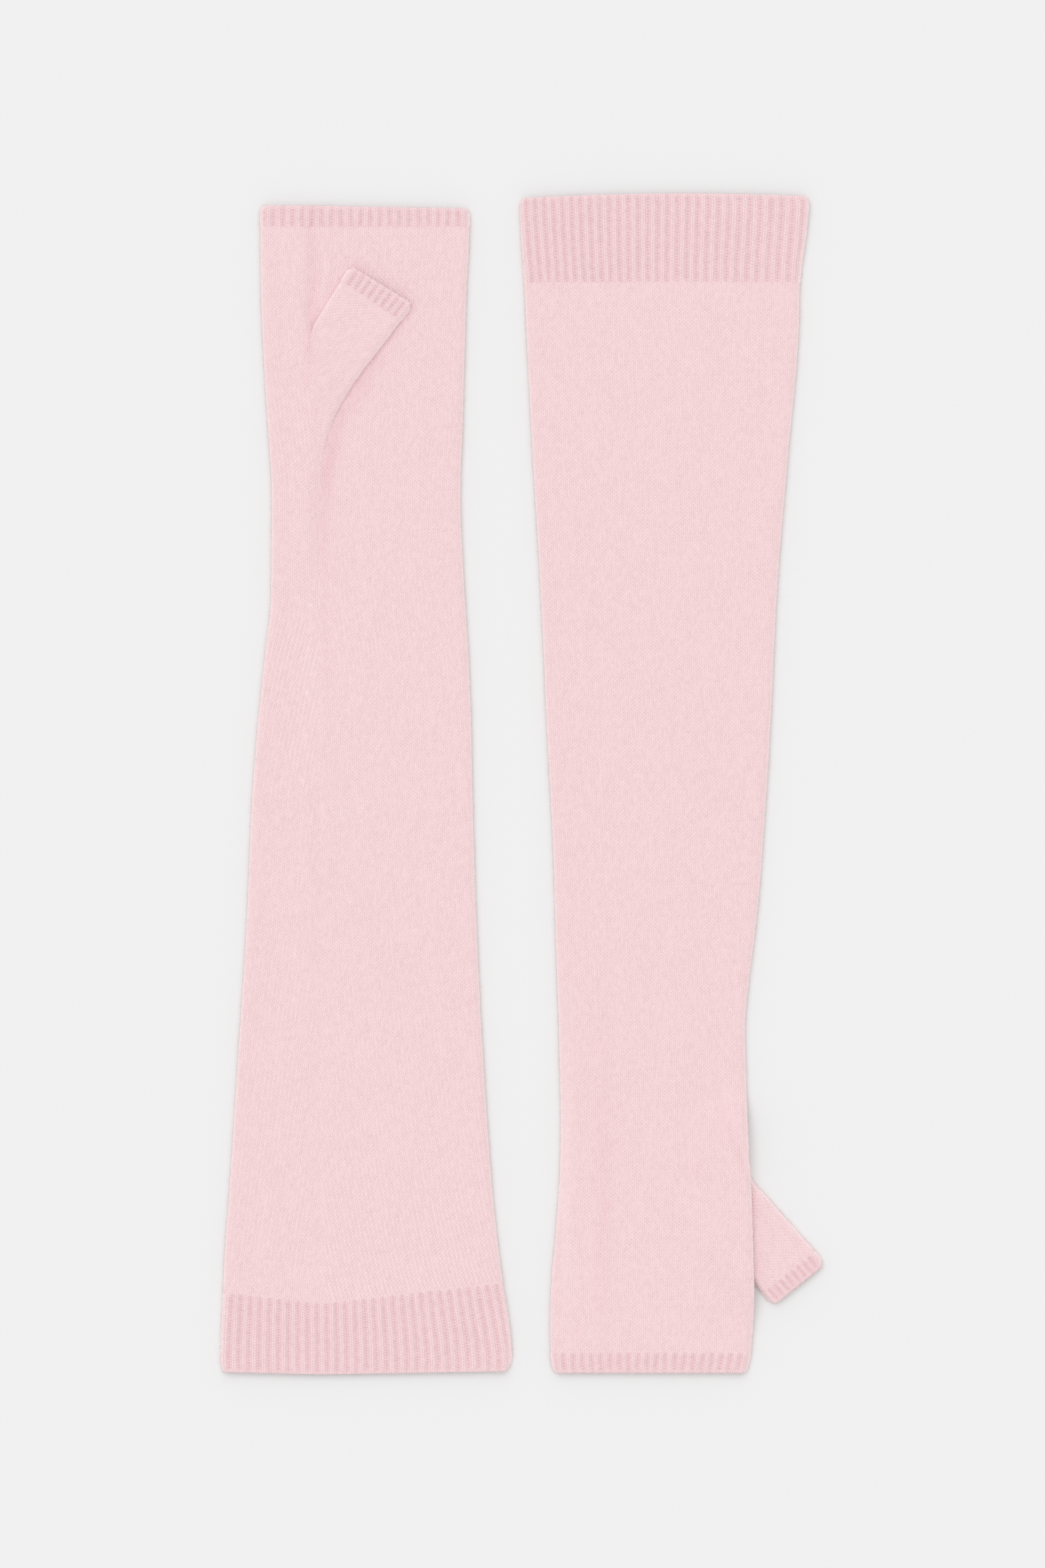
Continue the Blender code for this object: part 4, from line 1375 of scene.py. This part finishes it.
rib_band(left_glove, LEFT_ARM_PLAN, LEFT_ROWS[0].along, LEFT_ARM_RIB_ENDS)
rib_band(right_glove, RIGHT_ARM_PLAN, RIGHT_ROWS[0].along, RIGHT_ARM_RIB_ENDS)
rib_band(left_glove, LEFT_HAND_PLAN, LEFT_ROWS[-1].along, LEFT_HAND_RIB_STARTS)
rib_band(right_glove, RIGHT_HAND_PLAN, RIGHT_ROWS[-1].along, RIGHT_HAND_RIB_STARTS)

# %% [markdown]
# # The thumbs
#
# A thumb is knitted like the arm: a plain tube and a rib. Its wales run beside the free fold on
# the left glove, and beside the middle on the right one, whose root is hidden under the hand.

# %% Thumb tubes and ribs
THUMB_RIB = (6, 0.055, 0.101, 0.0, NO_SLIP)


def thumb_pieces(side, stations, sole, beside, first_hollow):
    """A thumb's tube and its rib. The tube is hollow from one of its stations on."""
    thumb = Thumb(stations, sole, beside)
    join, rim = thumb.stops[-2], thumb.stops[-1]
    rows = tube_rows(0.0, join)
    last = len(rows.along) - 1
    first = int(np.searchsorted(rows.along, thumb.stops[first_hollow]))
    inner_rows = np.unique(np.append(np.arange(first, last, UNDER_STEP), last))
    panels = [Panel(lambda along, wale: wale * WALE + 0 * along, *thumb.top_span(rows.along))]
    made = knit_tube(thumb, rows, panels, plain_stitch, COLUMNS_PER_WALE, inner_rows, shut=True)
    name = f"{side}_thumb_tube"
    piece = make_piece(name + "_knit", made, side, name)
    left, right = thumb.edges(rows.along)
    keep_sheet(piece, right - left, join)
    rib_band(thumb, RibPlan(f"{side}_thumb_rib", *THUMB_RIB), rim, join)


thumb_pieces("left", LEFT_THUMB, LEFT_THUMB_SOLE, beside=1.0, first_hollow=3)
thumb_pieces("right", RIGHT_THUMB, RIGHT_THUMB_SOLE, beside=0.5, first_hollow=2)

# %% [markdown]
# # Loose fibres
#
# Brushed wool shows its fibres most along the edges, where they stand out against the floor. One
# tiny bent blade is scattered over each glove by Geometry Nodes, thinly over the upper face and
# thickly round the folds and the rims. The fibres are then made real and kept as one mesh.

# %% One fibre
FIBRE_LENGTH = 0.0010
FIBRE_WIDTH = 0.00004
FIBRE_BEND = 0.00035
MIDWAY, MIDWAY_BEND = 0.55, 0.35


def one_fibre(material):
    """A flat blade of two triangles, bent part of the way up."""
    half, bend = FIBRE_WIDTH / 2, FIBRE_BEND
    corners = [(-half, 0, 0), (half, 0, 0), (half, MIDWAY_BEND * bend, MIDWAY * FIBRE_LENGTH)]
    corners.append((0, bend, FIBRE_LENGTH))
    mesh = bpy.data.meshes.new("one_fibre")
    mesh.from_pydata(corners, [], [(0, 1, 2), (0, 2, 3)])
    flat_map = mesh.uv_layers.new(name="OFBake")
    places = [(0.0, 0.0), (1.0, 0.0), (1.0, 1.0), (0.0, 0.0), (1.0, 1.0), (0.0, 1.0)]
    for corner, place in zip(flat_map.uv, places):
        corner.vector = place
    mesh.materials.append(material)
    return bpy.data.objects.new("one_fibre", mesh)


# %% Scattering them
TOP_FIBRES = 60000.0
EDGE_FIBRES = 4400000.0
EDGE_FROM = 0.75
SMALLEST_FIBRE, LARGEST_FIBRE = 0.35, 1.35
LEAST_TILT, MOST_TILT = 0.2, 1.25
FIBRE_LEVEL = 0.0001
UNDERSIDE = -0.5
FIBRE_INPUTS = (
    ("Cloth", "Collection", None),
    ("Fibre", "Object", None),
    ("Yarn", "Material", None),
    ("On top", "Float", TOP_FIBRES),
    ("Round the edge", "Float", EDGE_FIBRES),
    ("Seed", "Int", SEED),
)


def fibre_tree():
    """Nodes that scatter a fibre over a collection of cloth, and what their inputs go by."""
    tree = bpy.data.node_groups.new("loose_fibres", "GeometryNodeTree")
    tree.interface.new_socket("Geometry", in_out="OUTPUT", socket_type="NodeSocketGeometry")
    inputs = {}
    for name, kind, value in FIBRE_INPUTS:
        socket = tree.interface.new_socket(name, in_out="INPUT", socket_type="NodeSocket" + kind)
        if value is not None:
            socket.default_value = value
        inputs[name] = socket.identifier
    sums = Sums(tree)
    given = sums.node("NodeGroupInput").outputs
    seed = given["Seed"]

    def out(kind, inputs, socket=0, **settings):
        return sums.node(kind, inputs, **settings).outputs[socket]

    cloth = out("GeometryNodeCollectionInfo", {"Collection": given["Cloth"]})
    fibre = out("GeometryNodeObjectInfo", {"Object": given["Fibre"]}, "Geometry")
    solid = out("GeometryNodeRealizeInstances", {"Geometry": cloth})
    up = sums.parts(out("GeometryNodeInputNormal", {}))[2]
    sideways = sums.math("LESS_THAN", up, EDGE_FROM)
    density = sums.times(sideways, given["Round the edge"], given["On top"])
    density = sums.times(density, sums.math("GREATER_THAN", up, UNDERSIDE))
    kind = "GeometryNodeDistributePointsOnFaces"
    points = sums.node(kind, {"Mesh": solid, "Density": density, "Seed": seed}).outputs
    least, most = (LEAST_TILT, 0.0, 0.0), (MOST_TILT, 0.0, 2 * math.pi)
    # A random node's inputs 0 and 1 are for a vector, and 2, 3 and output 1 for a number
    random = "FunctionNodeRandomValue"
    lean = out(random, {0: least, 1: most, "Seed": seed}, data_type="FLOAT_VECTOR")
    angles = out("FunctionNodeEulerToRotation", {0: lean})
    turns = {0: points["Rotation"], 1: angles}
    turned = out("FunctionNodeRotateRotation", turns, rotation_space="LOCAL")
    sizes = {2: SMALLEST_FIBRE, 3: LARGEST_FIBRE, "Seed": sums.add(seed, 1.0)}
    size = out(random, sizes, 1, data_type="FLOAT")
    each = {"Points": points["Points"], "Instance": fibre, "Rotation": turned, "Scale": size}
    scattered = out("GeometryNodeInstanceOnPoints", each)
    real = out("GeometryNodeRealizeInstances", {"Geometry": scattered})
    x, y, z = sums.parts(out("GeometryNodeInputPosition", {}))
    place = sums.joined(x, y, sums.math("MAXIMUM", z, FIBRE_LEVEL))
    moved = out("GeometryNodeSetPosition", {"Geometry": real, "Position": place})
    dyed = out("GeometryNodeSetMaterial", {"Geometry": moved, "Material": given["Yarn"]})
    sums.node("NodeGroupOutput", {"Geometry": dyed})
    return tree, inputs


# %% Each glove's fibres
FIBRE_YARN = {
    "Base Color": (0.88, 0.70, 0.71, 1.0),
    "Roughness": YARN_ROUGHNESS,
    "Specular IOR Level": 0.1,
}


def scatter_fibres(side, tree, inputs, fibre, yarn):
    """One glove's fibres as a mesh of their own, grown on all of its knitted pieces."""
    cloth = bpy.data.collections.new(side + "_cloth")
    for piece, _, _ in sheets:
        if piece.name.startswith(side):
            cloth.objects.link(piece)
    host = add_object("host", bpy.data.meshes.new("host"))
    modifier = host.modifiers.new("fibres", "NODES")
    modifier.node_group = tree
    for name, value in (("Cloth", cloth), ("Fibre", fibre), ("Yarn", yarn), ("Seed", SEED)):
        modifier[inputs[name]] = value
    graph = bpy.context.evaluated_depsgraph_get()
    mesh = bpy.data.meshes.new_from_object(host.evaluated_get(graph))
    bpy.data.objects.remove(host)
    bpy.data.collections.remove(cloth)
    mesh.name = side + "_fibres"
    piece = add_object(side + "_fibres", mesh)
    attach(piece, "root")
    names = ("arm_rib", "arm_tube", "hand_rib", "thumb_tube", "thumb_rib")
    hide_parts(*(f"{side}_{name}" for name in names))
    print(piece.name, len(mesh.polygons), "triangles")


def both_gloves_fibres():
    tree, inputs = fibre_tree()
    yarn, _ = new_material("loose_fibres", FIBRE_YARN)
    fibre = one_fibre(yarn)
    for side in ("left", "right"):
        scatter_fibres(side, tree, inputs, fibre, yarn)
    bpy.data.objects.remove(fibre)
    bpy.data.node_groups.remove(tree)


both_gloves_fibres()

# %% [markdown]
# # The cut of the cloth
#
# Each band is a sheet that was knitted flat or round, so its flat size is its whole way round by
# its length. The arm tubes narrow, so their area is less than that of a rectangle.

# %% Flat sizes
for piece, flat, area in sheets:
    print(piece.name, "is cut", round(flat[0] * 1000), "x", round(flat[1] * 1000), "mm")

# %% [markdown]
# # The floor, the light and the camera
#
# The pair was photographed from straight above on plain pale paper, in light so soft that only a
# narrow shadow shows beside each edge. A bright even sky gives that, with one large lamp overhead.

# %% The floor
FLOOR_SIDE = 8.0
FLOOR_LEVEL = -0.00002
PAPER = {
    "Base Color": (0.78, 0.78, 0.78, 1.0),
    "Roughness": 0.9,
    "Specular IOR Level": 0.0,
}


def floor_piece():
    mesh = bpy.data.meshes.new("floor")
    half = FLOOR_SIDE / 2
    corners = [(-half, -half), (half, -half), (half, half), (-half, half)]
    mesh.from_pydata([(x, y, FLOOR_LEVEL) for x, y in corners], [], [(0, 1, 2, 3)])
    material, _ = new_material("pale_paper", PAPER)
    mesh.materials.append(material)
    floor = add_object("floor", mesh)


floor_piece()

# %% The light
SKY = 0.84
LAMP_STRENGTH = 0.95
LAMP_WIDTH = 1.1
LAMP_PLACE = (-0.5, 1.1, 3.2)


def light_the_scene():
    world = bpy.data.worlds.new("sky")
    bpy.context.scene.world = world
    world.use_nodes = True
    sky = world.node_tree.nodes["Background"].inputs
    sky["Color"].default_value = (1.0, 1.0, 1.0, 1.0)
    sky["Strength"].default_value = SKY
    lamp = bpy.data.lights.new("large_lamp", "SUN")
    lamp.energy = LAMP_STRENGTH
    lamp.angle = LAMP_WIDTH
    holder = add_object("large_lamp", lamp)
    holder.location = LAMP_PLACE
    x, y, z = LAMP_PLACE
    holder.rotation_euler = (math.atan2(math.hypot(x, y), z), 0.0, math.atan2(x, -y))
    bpy.context.scene.view_settings.view_transform = "Standard"


light_the_scene()

# %% The camera
CAMERA_HEIGHT = 4.0
CLOTH_LEVEL = 0.0034
PIXELS_PER_METRE = 3600.0
PHOTO_HEIGHT = 2352
SENSOR = 36.0


def camera_above():
    camera = bpy.data.cameras.new("camera")
    camera.sensor_fit = "AUTO"
    camera.sensor_width = SENSOR
    camera.lens = SENSOR * CAMERA_HEIGHT * PIXELS_PER_METRE / PHOTO_HEIGHT
    holder = add_object("camera", camera)
    holder.location = (SHIFT * MM, 0.0, CAMERA_HEIGHT + CLOTH_LEVEL)
    bpy.context.scene.camera = holder


camera_above()

# %% Bring every object's place up to date
bpy.context.view_layer.update()
